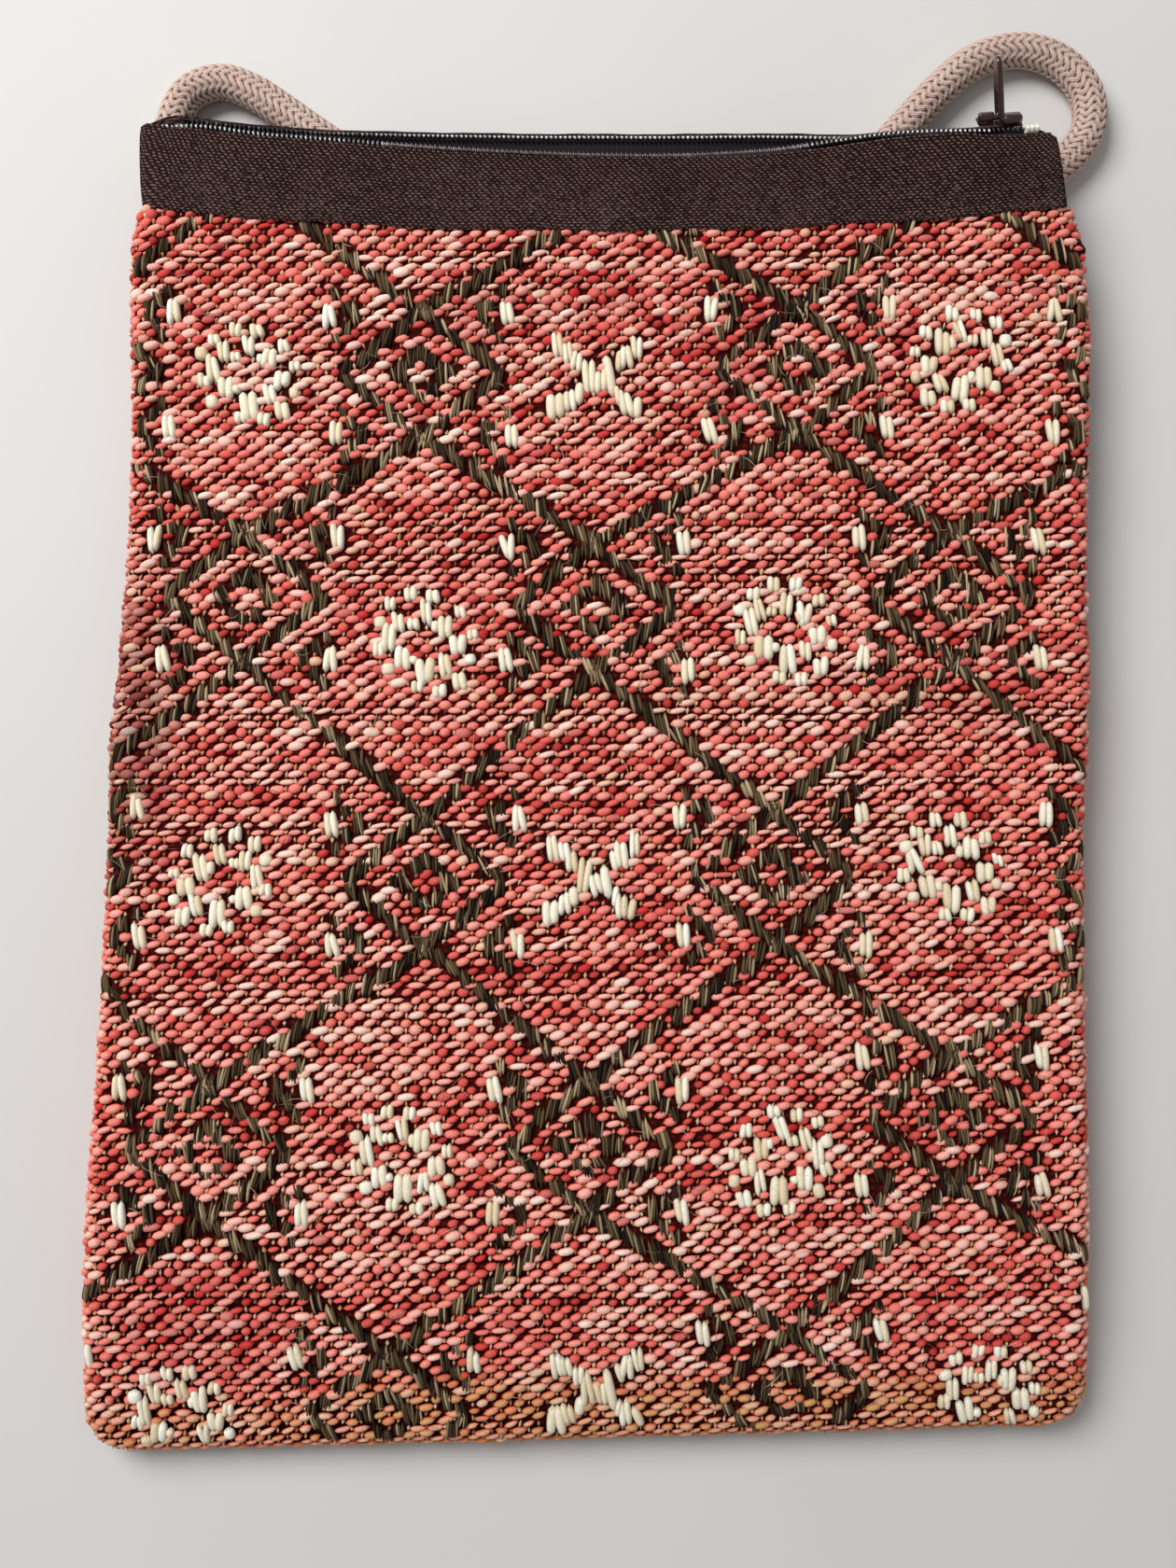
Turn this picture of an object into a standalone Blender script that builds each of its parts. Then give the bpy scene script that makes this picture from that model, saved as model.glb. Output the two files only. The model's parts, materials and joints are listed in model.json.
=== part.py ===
"""Flat kilim shoulder bag lying on its back, with an open zip and a braided rope strap.

The drawing is in metres with +Z up. X runs across the bag, Y runs towards the
mouth, and the floor is z = 0. The origin is under the middle of the bag and its
zip pull. The strap lies on the floor and the mouth end of the bag lies on it.
"""
import math

import bmesh
import bpy
from mathutils import Matrix, Vector

MM = 0.001

# Clearance that touching pieces keep, and a wider one where arcs meet in steps
GAP = 0.3 * MM
SEAM_GAP = 0.5 * MM

# Woven pouch: one kilim sheet folded at the hem and sewn at both sides
POUCH_TOP_WIDTH = 283.5 * MM
POUCH_TOP_MIDDLE = 4.3 * MM
POUCH_HEM_WIDTH = 287.5 * MM
POUCH_HEM_MIDDLE = -2.7 * MM
POUCH_HEM_Y = -193.9 * MM
POUCH_LENGTH = 368.7 * MM
SHOULDER_LENGTH = 25.9 * MM
HEM_SLOPE = 0.028
HEM_CORNER_RADIUS = 13.0 * MM
HEM_FOLD_DEPTH = 8.0 * MM
HEM_FOLD_HEIGHT = 12.5 * MM
SIDE_ROUND_DEPTH = 6.0 * MM
WALL = 2.5 * MM
CAVITY_AT_MOUTH = 4.7 * MM
RIDGE_PITCH = 4.1 * MM
RIDGE_DEPTH = 0.45 * MM
FRONT_FALL_LENGTH = 78.3 * MM
BACK_LYING_LENGTH = 187.3 * MM
BACK_RAMP_LENGTH = 60.0 * MM

# Facing band of twill round the mouth
BAND_WIDTH = 23.0 * MM
BAND_THICKNESS = 0.9 * MM
SHOULDER_TUCK = 2.0 * MM
BAND_OVERHANG = 0.6 * MM
BAND_LEFT = -130.0 * MM
BAND_RIGHT = 135.7 * MM

# Zip, laid along a wide arc that sags towards the hem
MOUTH_SAG_RADIUS = 1300.0 * MM
MOUTH_MIDDLE_X = 2.3 * MM
ZIP_ROLL = math.radians(40)
TAPE_THICKNESS = 0.6 * MM
TAPE_TAIL = 6.7 * MM
FRONT_TAPE_DROP = 2.6 * MM
BACK_TAPE_RISE = 5.6 * MM
TAPE_LEFT = -121.9 * MM
TAPE_RIGHT = 131.5 * MM
COIL_WIDTH = 2.0 * MM
COIL_HEIGHT = 2.2 * MM
COIL_PITCH = 4.2 * MM
COIL_LEFT = -117.6 * MM
COIL_RIGHT = 124.3 * MM
STOP_LENGTH = 4.0 * MM

# Slider and pull tab
SLIDER_X = 117.8 * MM
SLIDER_LENGTH = 12.5 * MM
SLIDER_CLEARANCE = 0.3 * MM
SLIDER_WING = 0.8 * MM
SLIDER_FLANGE = 0.7 * MM
CROWN_WIDTH = 2.2 * MM
CROWN_BAR = 1.3 * MM
CROWN_LEG = 4.2 * MM
CROWN_LENGTH = 12.0 * MM
PULL_LENGTH = 17.0 * MM
PULL_THICKNESS = 1.4 * MM
PULL_RIM = 1.3 * MM
PULL_SIDE_PLAY = 0.4 * MM
PULL_EYE_LENGTH = 7.5 * MM
PULL_LEAN = math.radians(-14)

# Braided rope strap
STRAP_DIAMETER = 10.5 * MM
STRAP_POINT_SPACING = 11.2 * MM

# Inlaid pattern on the front
BROCADE_THICKNESS = 0.8 * MM
LINE_WIDTH = 4.6 * MM
ARM_REACH = 75.0 * MM
ARM_SLOPE = 0.62
RING_WIDTH = 3.4 * MM
DIAMOND_HALF_WIDTH = 23.0 * MM
DIAMOND_HALF_HEIGHT = 18.5 * MM
RING_HALF_WIDTH = 8.6 * MM
RING_HALF_HEIGHT = 8.0 * MM
ROSETTE_HALF_WIDTH = 12.6 * MM
ROSETTE_HALF_HEIGHT = 17.0 * MM
ROSETTE_HOLE = 0.3
ROSETTE_LOBES = 10
CROSS_HALF_WIDTH = 12.0 * MM
CROSS_HALF_HEIGHT = 11.5 * MM
CROSS_ARM = 6.0 * MM

# Diamond centres by weaving row from the mouth down and by column. Each is a share of
# the cloth's width, from its middle, and a share of its length, from the hem
DIAMONDS = {
    (0, 1): (-0.171, 0.827), (0, 3): (0.203, 0.831),
    (1, 0): (-0.345, 0.653), (1, 2): (0.000, 0.645), (1, 4): (0.353, 0.653),
    (2, 1): (-0.166, 0.434), (2, 3): (0.177, 0.437),
    (3, 0): (-0.376, 0.229), (3, 2): (-0.006, 0.233), (3, 4): (0.348, 0.254),
    (4, 1): (-0.193, 0.033), (4, 3): (0.194, 0.047),
}
ROSETTES = [
    (-0.346, 0.827), (0.368, 0.838), (-0.170, 0.618), (0.187, 0.627), (-0.364, 0.434),
    (0.347, 0.445), (-0.190, 0.224), (0.184, 0.222), (-0.410, 0.037), (0.390, 0.047),
]
CROSSES = [(0.000, 0.827), (-0.004, 0.439), (0.000, 0.047)]

# Strap centreline in mm, from the left corner to the right corner: X, and Y from the mouth
STRAP_ROUTE = [
    (-124.5, -5.4), (-126.0, 6.6), (-126.2, 17.6), (-121.5, 27.1), (-112.0, 30.6),
    (-102.5, 27.6), (-93.5, 21.8), (-82.0, 13.6), (-60.0, -0.4), (-30.0, -9.9),
    (5.0, -12.9), (38.0, -15.4), (56.0, -28.4), (58.5, -46.4), (44.0, -59.9),
    (15.0, -63.4), (-25.0, -60.9), (-65.0, -58.4), (-93.0, -68.4), (-99.0, -88.4),
    (-84.0, -102.9), (-52.0, -106.4), (-10.0, -102.4), (35.0, -103.9), (72.0, -99.4),
    (93.0, -81.4), (98.0, -55.4), (90.0, -31.4), (82.0, -11.4), (84.5, 5.6),
    (96.0, 20.1), (104.5, 29.1), (115.0, 37.1), (127.5, 40.3), (139.5, 36.8),
    (147.3, 28.1), (148.3, 17.1), (143.0, 8.1), (134.5, 1.1), (127.0, -4.9),
]

# Places along the bag that follow from its length
MOUTH_EDGE_Y = POUCH_HEM_Y + POUCH_LENGTH
POUCH_SHOULDER_Y = MOUTH_EDGE_Y - SHOULDER_LENGTH
FRONT_FALL_START_Y = POUCH_HEM_Y + FRONT_FALL_LENGTH
BACK_RAMP_START_Y = POUCH_HEM_Y + BACK_LYING_LENGTH
BACK_RAMP_END_Y = BACK_RAMP_START_Y + BACK_RAMP_LENGTH

# Heights that follow from the stack of layers, floor upwards
BACK_BAND_LOW = STRAP_DIAMETER + GAP + 0.05 * MM
BACK_LOW = BACK_BAND_LOW + BAND_THICKNESS + GAP
FRONT_HIGH = BACK_LOW + 2 * WALL + CAVITY_AT_MOUTH
FRONT_BAND_LOW = FRONT_HIGH + GAP
FRONT_TAPE_MID = FRONT_HIGH - TAPE_THICKNESS / 2
BACK_TAPE_MID = BACK_LOW + TAPE_THICKNESS / 2

# Zip section: both coil rows lie in one plane that is rolled towards the mouth
ZIP_ACROSS = Vector((0, math.cos(ZIP_ROLL), -math.sin(ZIP_ROLL)))
ZIP_OUT = Vector((0, math.sin(ZIP_ROLL), math.cos(ZIP_ROLL)))
ZIP_SPAN = (FRONT_TAPE_MID - BACK_TAPE_MID) / math.sin(ZIP_ROLL)
ROW_SPACING = ZIP_SPAN - FRONT_TAPE_DROP - BACK_TAPE_RISE
ZIP_MIDDLE = FRONT_TAPE_DROP + ROW_SPACING / 2
BACK_EDGE_Y = MOUTH_EDGE_Y + ZIP_SPAN * math.cos(ZIP_ROLL)
ZIP_MID_Y = MOUTH_EDGE_Y + ZIP_MIDDLE * math.cos(ZIP_ROLL)
ZIP_MID_Z = FRONT_TAPE_MID - ZIP_MIDDLE * math.sin(ZIP_ROLL)
MOUTH_CENTRE_Y = ZIP_MID_Y + MOUTH_SAG_RADIUS
ROW_TO_TAPE = COIL_WIDTH / 2 + GAP
FRONT_FALL_STEPS = 4
SIDE_STEPS = 5
FLAT_COLUMNS = 7
ARC_STEPS = 24


def srgb(red, green, blue):
    """Turn 0-255 screen colour into the linear colour a shader wants."""
    def linear(value):
        value /= 255
        return value / 12.92 if value <= 0.04045 else ((value + 0.055) / 1.055) ** 2.4
    return (linear(red), linear(green), linear(blue), 1)


def make_material(name, colour, roughness, metallic=0.0):
    material = bpy.data.materials.new(name)
    material.use_nodes = True
    shader = material.node_tree.nodes["Principled BSDF"]
    shader.inputs["Base Color"].default_value = colour
    shader.inputs["Roughness"].default_value = roughness
    shader.inputs["Metallic"].default_value = metallic
    material.diffuse_color = colour
    return material


def new_object(name, bm, material, parent=None):
    """Close a bmesh into a named object with outward faces."""
    bmesh.ops.recalc_face_normals(bm, faces=bm.faces)
    mesh = bpy.data.meshes.new(name)
    bm.to_mesh(mesh)
    bm.free()
    mesh.materials.append(material)
    thing = bpy.data.objects.new(name, mesh)
    bpy.context.scene.collection.objects.link(thing)
    thing.parent = parent
    return thing


def new_empty(name, location, parent=None):
    empty = bpy.data.objects.new(name, None)
    empty.empty_display_size = PULL_LENGTH
    bpy.context.scene.collection.objects.link(empty)
    empty.parent = parent
    empty.location = location
    return empty


def add_union(target, operand):
    """Join a hidden operand to the target with an exact union."""
    operand.hide_render = True
    operand.display_type = "WIRE"
    modifier = target.modifiers.new("union_" + operand.name, "BOOLEAN")
    modifier.operation = "UNION"
    modifier.solver = "EXACT"
    modifier.object = operand


def lerp(low, high, share):
    return low + (high - low) * share


def arc_y(edge_y, x):
    """Y of a line that is concentric with the zip and passes edge_y in the middle."""
    radius = MOUTH_CENTRE_Y - edge_y
    return MOUTH_CENTRE_Y - math.sqrt(radius ** 2 - (x - MOUTH_MIDDLE_X) ** 2)


# Outline and heights of the pouch

def side_x(y, side):
    """X of the left (side = -1) or right (side = 1) edge of the pouch."""
    share = (y - POUCH_HEM_Y) / (POUCH_SHOULDER_Y - POUCH_HEM_Y)
    middle = lerp(POUCH_HEM_MIDDLE, POUCH_TOP_MIDDLE, share)
    width = lerp(POUCH_HEM_WIDTH, POUCH_TOP_WIDTH, share)
    return middle + side * width / 2


def hem_y(x):
    return POUCH_HEM_Y + HEM_SLOPE * x


def row_y(y, x):
    """Weft rows run level near the mouth and lean with the hem at the bottom."""
    share = min(1, max(0, y / POUCH_HEM_Y))
    return y + HEM_SLOPE * x * share


def front_knots():
    """Creases of the front face, where it starts to fall to the hem."""
    end = POUCH_HEM_Y + HEM_FOLD_DEPTH
    knots = []
    for step in range(FRONT_FALL_STEPS + 1):
        share = step / FRONT_FALL_STEPS
        height = lerp(FRONT_HIGH, HEM_FOLD_HEIGHT, share ** 2)
        knots.append((lerp(FRONT_FALL_START_Y, end, share), height))
    return knots


def front_z(y):
    knots = front_knots()
    if y >= knots[0][0]:
        return knots[0][1]
    for (high_y, high_z), (low_y, low_z) in zip(knots, knots[1:]):
        if y >= low_y or (low_y, low_z) == knots[-1]:
            return lerp(high_z, low_z, (y - high_y) / (low_y - high_y))


def back_z(y):
    share = (y - BACK_RAMP_START_Y) / (BACK_RAMP_END_Y - BACK_RAMP_START_Y)
    return BACK_LOW * min(1, max(0, share))


# Woven pouch

def pouch_loop(bm, y, inset, depth=None, ridge=0.0, narrow=0.0, rim=None):
    """One closed ring of vertices across the pouch.

    inset moves the ring inside the cloth. depth is how far the ring is from the
    hem edge, for rings in the fold. narrow pulls the sides in under the band,
    and rim gives the front and back edge lines of the mouth.
    """
    left = lerp(side_x(y, -1), BAND_LEFT + BAND_THICKNESS + SEAM_GAP, narrow) + inset
    right = lerp(side_x(y, 1), BAND_RIGHT - BAND_THICKNESS - SEAM_GAP, narrow) - inset
    height = 1.0
    if depth is not None:
        corner = HEM_CORNER_RADIUS - inset
        fold = HEM_FOLD_DEPTH - inset
        if depth < corner:
            pull = corner - math.sqrt(corner ** 2 - (corner - depth) ** 2)
            left += pull
            right -= pull
        if depth < fold:
            height = math.sqrt(1 - (1 - depth / fold) ** 2)

    def vertex(x, angle):
        """angle runs from 90 degrees on the front face to -90 on the back."""
        lift = math.sin(angle)
        if rim:
            share = ((math.pi / 2 - angle) / math.pi) ** 3
            place_y = lerp(arc_y(rim[0], x), arc_y(rim[1], x), share)
        elif depth is None:
            place_y = arc_y(y, x) if narrow else row_y(y, x)
        else:
            place_y = hem_y(x) + inset + depth
        top = front_z(place_y) - inset - ridge * max(0, lift)
        low = back_z(place_y) + inset
        middle = (top + low) / 2
        return bm.verts.new((x, place_y, middle + (top - low) / 2 * height * lift))

    flat_left = left + SIDE_ROUND_DEPTH
    flat_right = right - SIDE_ROUND_DEPTH
    ring = []
    for step in range(FLAT_COLUMNS + 1):
        ring.append(vertex(lerp(flat_left, flat_right, step / FLAT_COLUMNS), math.pi / 2))
    for step in range(1, SIDE_STEPS + 1):
        angle = math.pi / 2 - math.pi * step / (SIDE_STEPS + 1)
        ring.append(vertex(flat_right + SIDE_ROUND_DEPTH * math.cos(angle), angle))
    for step in range(FLAT_COLUMNS + 1):
        ring.append(vertex(lerp(flat_right, flat_left, step / FLAT_COLUMNS), -math.pi / 2))
    for step in range(1, SIDE_STEPS + 1):
        angle = -math.pi / 2 + math.pi * step / (SIDE_STEPS + 1)
        ring.append(vertex(flat_left - SIDE_ROUND_DEPTH * math.cos(angle), angle))
    return ring


def bridge(bm, rings):
    for first, second in zip(rings, rings[1:]):
        count = len(first)
        for index in range(count):
            after = (index + 1) % count
            bm.faces.new((first[index], first[after], second[after], second[index]))


def straight_rows(low, high, extra):
    """Y of the ridge crests and valleys between low and high, and of the creases."""
    count = 2 * round((high - low) / RIDGE_PITCH)
    rows = [(lerp(low, high, step / count), step % 2) for step in range(count + 1)]
    spacing = (high - low) / count
    for crease in extra:
        nearest = min(range(len(rows)), key=lambda place: abs(rows[place][0] - crease))
        if abs(rows[nearest][0] - crease) < spacing and 0 < nearest < count:
            rows[nearest] = (crease, rows[nearest][1])
    return rows


def make_pouch(material):
    bm = bmesh.new()
    creases = [knot[0] for knot in front_knots()]
    ramp = [BACK_RAMP_START_Y, BACK_RAMP_END_Y]
    front_rim = MOUTH_EDGE_Y - TAPE_TAIL - SEAM_GAP
    back_rim = BACK_EDGE_Y - TAPE_TAIL - SEAM_GAP
    band_low = MOUTH_EDGE_Y + BAND_OVERHANG - BAND_WIDTH
    fold_start = POUCH_HEM_Y + HEM_FOLD_DEPTH

    outer = []
    for depth in (0.0, 0.12, 0.35, 0.7, 1.0):
        share = depth * HEM_FOLD_DEPTH
        outer.append(pouch_loop(bm, POUCH_HEM_Y + share, 0.0, depth=share))
    corner_end = POUCH_HEM_Y + HEM_CORNER_RADIUS
    for row, valley in straight_rows(fold_start, POUCH_SHOULDER_Y, creases + ramp)[1:]:
        depth = row - POUCH_HEM_Y if row < corner_end else None
        outer.append(pouch_loop(bm, row, 0.0, depth=depth, ridge=RIDGE_DEPTH * valley))
    outer.append(pouch_loop(bm, band_low - SHOULDER_TUCK, 0.0, narrow=1.0))
    outer.append(pouch_loop(bm, front_rim, 0.0, narrow=1.0, rim=(front_rim, back_rim)))

    inner = []
    inner_fold = HEM_FOLD_DEPTH - WALL
    for depth in (0.0, 0.4 * inner_fold, inner_fold):
        inner.append(pouch_loop(bm, POUCH_HEM_Y + WALL + depth, WALL, depth=depth))
    for row in sorted(creases[:-1] + ramp) + [POUCH_SHOULDER_Y]:
        inner.append(pouch_loop(bm, row, WALL))
    inner.append(pouch_loop(bm, band_low - SHOULDER_TUCK, WALL, narrow=1.0))
    inner.append(pouch_loop(bm, front_rim, WALL, narrow=1.0, rim=(front_rim, back_rim)))

    bridge(bm, outer)
    bridge(bm, inner)
    bridge(bm, [outer[-1], inner[-1]])
    bmesh.ops.remove_doubles(bm, verts=bm.verts, dist=0.002 * MM)
    bmesh.ops.dissolve_degenerate(bm, edges=bm.edges, dist=0.002 * MM)
    bmesh.ops.dissolve_limit(bm, angle_limit=math.radians(0.05), verts=bm.verts, edges=bm.edges)
    bmesh.ops.triangulate(bm, faces=bm.faces, ngon_method="BEAUTY")
    return new_object("kilim_pouch", bm, material)


# Facing band

def make_band(material):
    """One strip: along the front, folded round the left corner, along the back."""
    bm = bmesh.new()
    front_upper = MOUTH_EDGE_Y + BAND_OVERHANG
    back_upper = BACK_EDGE_Y + BAND_OVERHANG
    middle_z = (FRONT_HIGH + BACK_LOW) / 2
    inner_high = (FRONT_HIGH - BACK_LOW) / 2 + GAP
    inner_deep = SIDE_ROUND_DEPTH + SEAM_GAP
    turn_x = BAND_LEFT + BAND_THICKNESS + inner_deep
    columns = 10
    turns = 8

    path = []
    for step in range(columns + 1):
        path.append((lerp(BAND_RIGHT, turn_x, step / columns), math.pi / 2))
    for step in range(1, turns):
        path.append((turn_x, math.pi / 2 + math.pi * step / turns))
    for step in range(columns + 1):
        path.append((lerp(turn_x, BAND_RIGHT, step / columns), 3 * math.pi / 2))

    rings = []
    for x, angle in path:
        share = (angle - math.pi / 2) / math.pi
        upper = lerp(front_upper, back_upper, share)
        ring = []
        for offset, edge in ((0, 0), (0, 1), (1, 1), (1, 0)):
            deep = inner_deep + offset * BAND_THICKNESS
            high = inner_high + offset * BAND_THICKNESS
            place_x = x + deep * math.cos(angle)
            place_y = arc_y(upper - (1 - edge) * BAND_WIDTH, place_x)
            ring.append(bm.verts.new((place_x, place_y, middle_z + high * math.sin(angle))))
        rings.append(ring)
    bridge(bm, rings)
    bm.faces.new(rings[0])
    bm.faces.new(rings[-1])
    return new_object("mouth_band", bm, material)


# Zip

def zip_angle(x):
    return math.asin((x - MOUTH_MIDDLE_X) / MOUTH_SAG_RADIUS)


def zip_frame(angle):
    """Matrix from zip axes (along, across, out) to the bag, at an angle along the arc."""
    turn = Matrix.Rotation(angle, 4, "Z")
    axis = Matrix.Translation((MOUTH_MIDDLE_X, MOUTH_CENTRE_Y, 0))
    middle = Vector((0, -MOUTH_SAG_RADIUS, ZIP_MID_Z))
    local = Matrix((Vector((1, 0, 0)), ZIP_ACROSS, ZIP_OUT)).transposed().to_4x4()
    return axis @ turn @ Matrix.Translation(middle) @ local


def sweep(bm, section, start_x, end_x, steps, swell=None):
    """Carry a closed section of (across, out) points along the arc of the zip."""
    rings = []
    for step in range(steps + 1):
        angle = lerp(zip_angle(start_x), zip_angle(end_x), step / steps)
        frame = zip_frame(angle)
        size = swell(step) if swell else 1.0
        middle = Vector([sum(values) / len(section) for values in zip(*section)])
        ring = []
        for point in section:
            place = middle + (Vector(point) - middle) * size
            ring.append(bm.verts.new(frame @ Vector((0, place.x, place.y))))
        rings.append(ring)
    bridge(bm, rings)
    bm.faces.new(rings[0])
    bm.faces.new(rings[-1])


def across_out(y, z):
    """Turn a point of the bag's middle section into zip section coordinates."""
    offset = Vector((0, y - ZIP_MID_Y, z - ZIP_MID_Z))
    return (offset.dot(ZIP_ACROSS), offset.dot(ZIP_OUT))


def make_tape(name, side, material):
    """side = -1 is the front tape and 1 is the back tape."""
    edge_y = MOUTH_EDGE_Y if side < 0 else BACK_EDGE_Y
    edge_z = FRONT_TAPE_MID if side < 0 else BACK_TAPE_MID
    half = TAPE_THICKNESS / 2
    free = ROW_SPACING / 2 + ROW_TO_TAPE
    bend = ROW_SPACING / 2 + (FRONT_TAPE_DROP if side < 0 else BACK_TAPE_RISE)
    turn = (math.pi - ZIP_ROLL) / 2 if side > 0 else ZIP_ROLL / 2
    mitre = half * math.tan(turn)
    outer = (side * (bend + mitre), half)
    inner = (side * (bend - mitre), -half)
    upper = across_out(edge_y - TAPE_TAIL, edge_z + half)
    lower = across_out(edge_y - TAPE_TAIL, edge_z - half)
    tail = [upper, lower] if side < 0 else [lower, upper]
    section = [(side * free, half), outer] + tail + [inner, (side * free, -half)]
    bm = bmesh.new()
    sweep(bm, section, TAPE_LEFT, TAPE_RIGHT, ARC_STEPS)
    return new_object(name, bm, material)


def make_coil(name, side, material):
    middle = side * ROW_SPACING / 2
    wide = COIL_WIDTH / 2
    high = COIL_HEIGHT / 2
    section = [(middle - wide, 0), (middle, high), (middle + wide, 0), (middle, -high)]
    steps = 2 * round((COIL_RIGHT - COIL_LEFT) / COIL_PITCH)
    bm = bmesh.new()
    sweep(bm, section, COIL_LEFT, COIL_RIGHT, steps, lambda step: 1.0 if step % 2 else 0.78)
    return new_object(name, bm, material)


def make_stop(name, start_x, material):
    """A moulded bar across both coil rows."""
    wide = (ROW_SPACING + COIL_WIDTH) / 2
    high = COIL_HEIGHT / 2
    section = [(-wide, -high), (wide, -high), (wide, high), (-wide, high)]
    bm = bmesh.new()
    sweep(bm, section, start_x, start_x + STOP_LENGTH, 1)
    return new_object(name, bm, material)


def extruded(outline, low, high, to_space):
    """Closed prism of a 2-D outline between two levels, placed by to_space(a, b, level)."""
    bm = bmesh.new()
    near = bm.faces.new([bm.verts.new(to_space(a, b, low)) for a, b in outline])
    result = bmesh.ops.extrude_face_region(bm, geom=[near])
    moved = [item for item in result["geom"] if isinstance(item, bmesh.types.BMVert)]
    shift = to_space(0, 0, high) - to_space(0, 0, low)
    bmesh.ops.translate(bm, verts=moved, vec=shift)
    return bm


def make_slider(material, axis):
    """Two wings joined by a post, with flanges that hold both coil rows."""
    wing_in = COIL_HEIGHT / 2 + SLIDER_CLEARANCE
    wing_out = wing_in + SLIDER_WING
    slot = TAPE_THICKNESS / 2 + SLIDER_CLEARANCE
    flange_in = (ROW_SPACING + COIL_WIDTH) / 2 + SLIDER_CLEARANCE
    flange_out = flange_in + SLIDER_FLANGE
    post = (ROW_SPACING - COIL_WIDTH) / 2 - SLIDER_CLEARANCE
    quarter = [(flange_out, wing_out), (flange_out, slot), (flange_in, slot),
               (flange_in, wing_in), (post, wing_in)]
    right = quarter + [(across, -out) for across, out in reversed(quarter)]
    outline = right + [(-across, out) for across, out in reversed(right)]
    rest = axis.matrix_world.inverted() @ zip_frame(zip_angle(SLIDER_X))

    def along(across, out, level):
        return Vector((level, across, out))

    bm = extruded(outline, -SLIDER_LENGTH / 2, SLIDER_LENGTH / 2, along)
    bm.transform(rest)
    slider = new_object("zip_slider", bm, material, axis)

    bar_low = pull_pivot_out() + pull_reach() + GAP
    bar_high = bar_low + CROWN_BAR
    half = CROWN_LENGTH / 2
    root = wing_out - SLIDER_WING / 3
    arch = [(-half, root), (-half, bar_high), (half, bar_high), (half, root),
            (half - CROWN_LEG, root), (half - CROWN_LEG, bar_low),
            (-half + CROWN_LEG, bar_low), (-half + CROWN_LEG, root)]

    def across_bar(along_x, out, level):
        return Vector((along_x, level, out))

    crown_mesh = extruded(arch, -CROWN_WIDTH / 2, CROWN_WIDTH / 2, across_bar)
    crown_mesh.transform(rest)
    crown = new_object("crown_operand", crown_mesh, material, axis)
    add_union(slider, crown)
    return slider


def pull_reach():
    """Furthest corner of the pull's cross bar from its axis."""
    return PULL_THICKNESS / math.sqrt(2)


def pull_pivot_out():
    return COIL_HEIGHT / 2 + SLIDER_CLEARANCE + SLIDER_WING + pull_reach() + GAP


def make_pull(material, slider):
    """Flat tab with an eye round the crown, standing out of the zip's plane."""
    place = zip_frame(zip_angle(SLIDER_X)) @ Matrix.Translation((0, 0, pull_pivot_out()))
    pivot = new_empty("pull_axis", (0, 0, 0), slider)
    pivot.matrix_world = place @ Matrix.Rotation(PULL_LEAN, 4, "Y")
    eye_half = CROWN_WIDTH / 2 + PULL_SIDE_PLAY
    root_half = eye_half + PULL_RIM
    tip_half = root_half * 0.8
    low = -PULL_THICKNESS / 2
    eye_end = PULL_EYE_LENGTH
    bm = bmesh.new()
    tip = []
    tip_steps = 6
    for step in range(tip_steps + 1):
        angle = math.pi * step / tip_steps
        tip.append((tip_half * math.cos(angle), PULL_LENGTH - tip_half * (1 - math.sin(angle))))
    outer = [(-root_half, low), (root_half, low), (root_half, eye_end)] + tip
    outer.append((-root_half, eye_end))
    hole = [(-eye_half, -low), (eye_half, -low), (eye_half, eye_end), (-eye_half, eye_end)]
    rim = [bm.verts.new((0, a, b)) for a, b in outer]
    eye = [bm.verts.new((0, a, b)) for a, b in hole]
    bm.faces.new((rim[0], rim[1], eye[1], eye[0]))
    bm.faces.new((rim[1], rim[2], eye[2], eye[1]))
    bm.faces.new([rim[2]] + rim[3:-1] + [rim[-1], eye[3], eye[2]])
    bm.faces.new((rim[-1], rim[0], eye[0], eye[3]))
    thick = bmesh.ops.extrude_face_region(bm, geom=bm.faces[:])
    moved = [item for item in thick["geom"] if isinstance(item, bmesh.types.BMVert)]
    bmesh.ops.translate(bm, verts=moved, vec=(PULL_THICKNESS, 0, 0))
    bmesh.ops.translate(bm, verts=bm.verts, vec=(-PULL_THICKNESS / 2, 0, 0))
    return new_object("zip_pull_tab", bm, material, pivot)


# Strap

def smooth_route(points, per_span=24):
    """Fine points of a centripetal Catmull-Rom curve through the route."""
    ends = [points[0] * 2 - points[1]] + points + [points[-1] * 2 - points[-2]]
    fine = []
    for start in range(len(points) - 1):
        p0, p1, p2, p3 = ends[start:start + 4]
        t1 = (p1 - p0).length ** 0.5
        t2 = t1 + (p2 - p1).length ** 0.5
        t3 = t2 + (p3 - p2).length ** 0.5
        for step in range(per_span):
            t = lerp(t1, t2, step / per_span)
            a1 = p0.lerp(p1, t / t1)
            a2 = p1.lerp(p2, (t - t1) / (t2 - t1))
            a3 = p2.lerp(p3, (t - t2) / (t3 - t2))
            b1 = a1.lerp(a2, t / t2)
            b2 = a2.lerp(a3, (t - t1) / (t3 - t1))
            fine.append(b1.lerp(b2, (t - t1) / (t2 - t1)))
    fine.append(points[-1])
    return fine


def evenly_spaced(fine, spacing):
    lengths = [0.0]
    for first, second in zip(fine, fine[1:]):
        lengths.append(lengths[-1] + (second - first).length)
    count = round(lengths[-1] / spacing)
    spaced = []
    place = 0
    for step in range(count + 1):
        target = lengths[-1] * step / count
        while place < len(fine) - 2 and lengths[place + 1] < target:
            place += 1
        share = (target - lengths[place]) / (lengths[place + 1] - lengths[place])
        spaced.append(fine[place].lerp(fine[place + 1], share))
    return spaced


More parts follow.
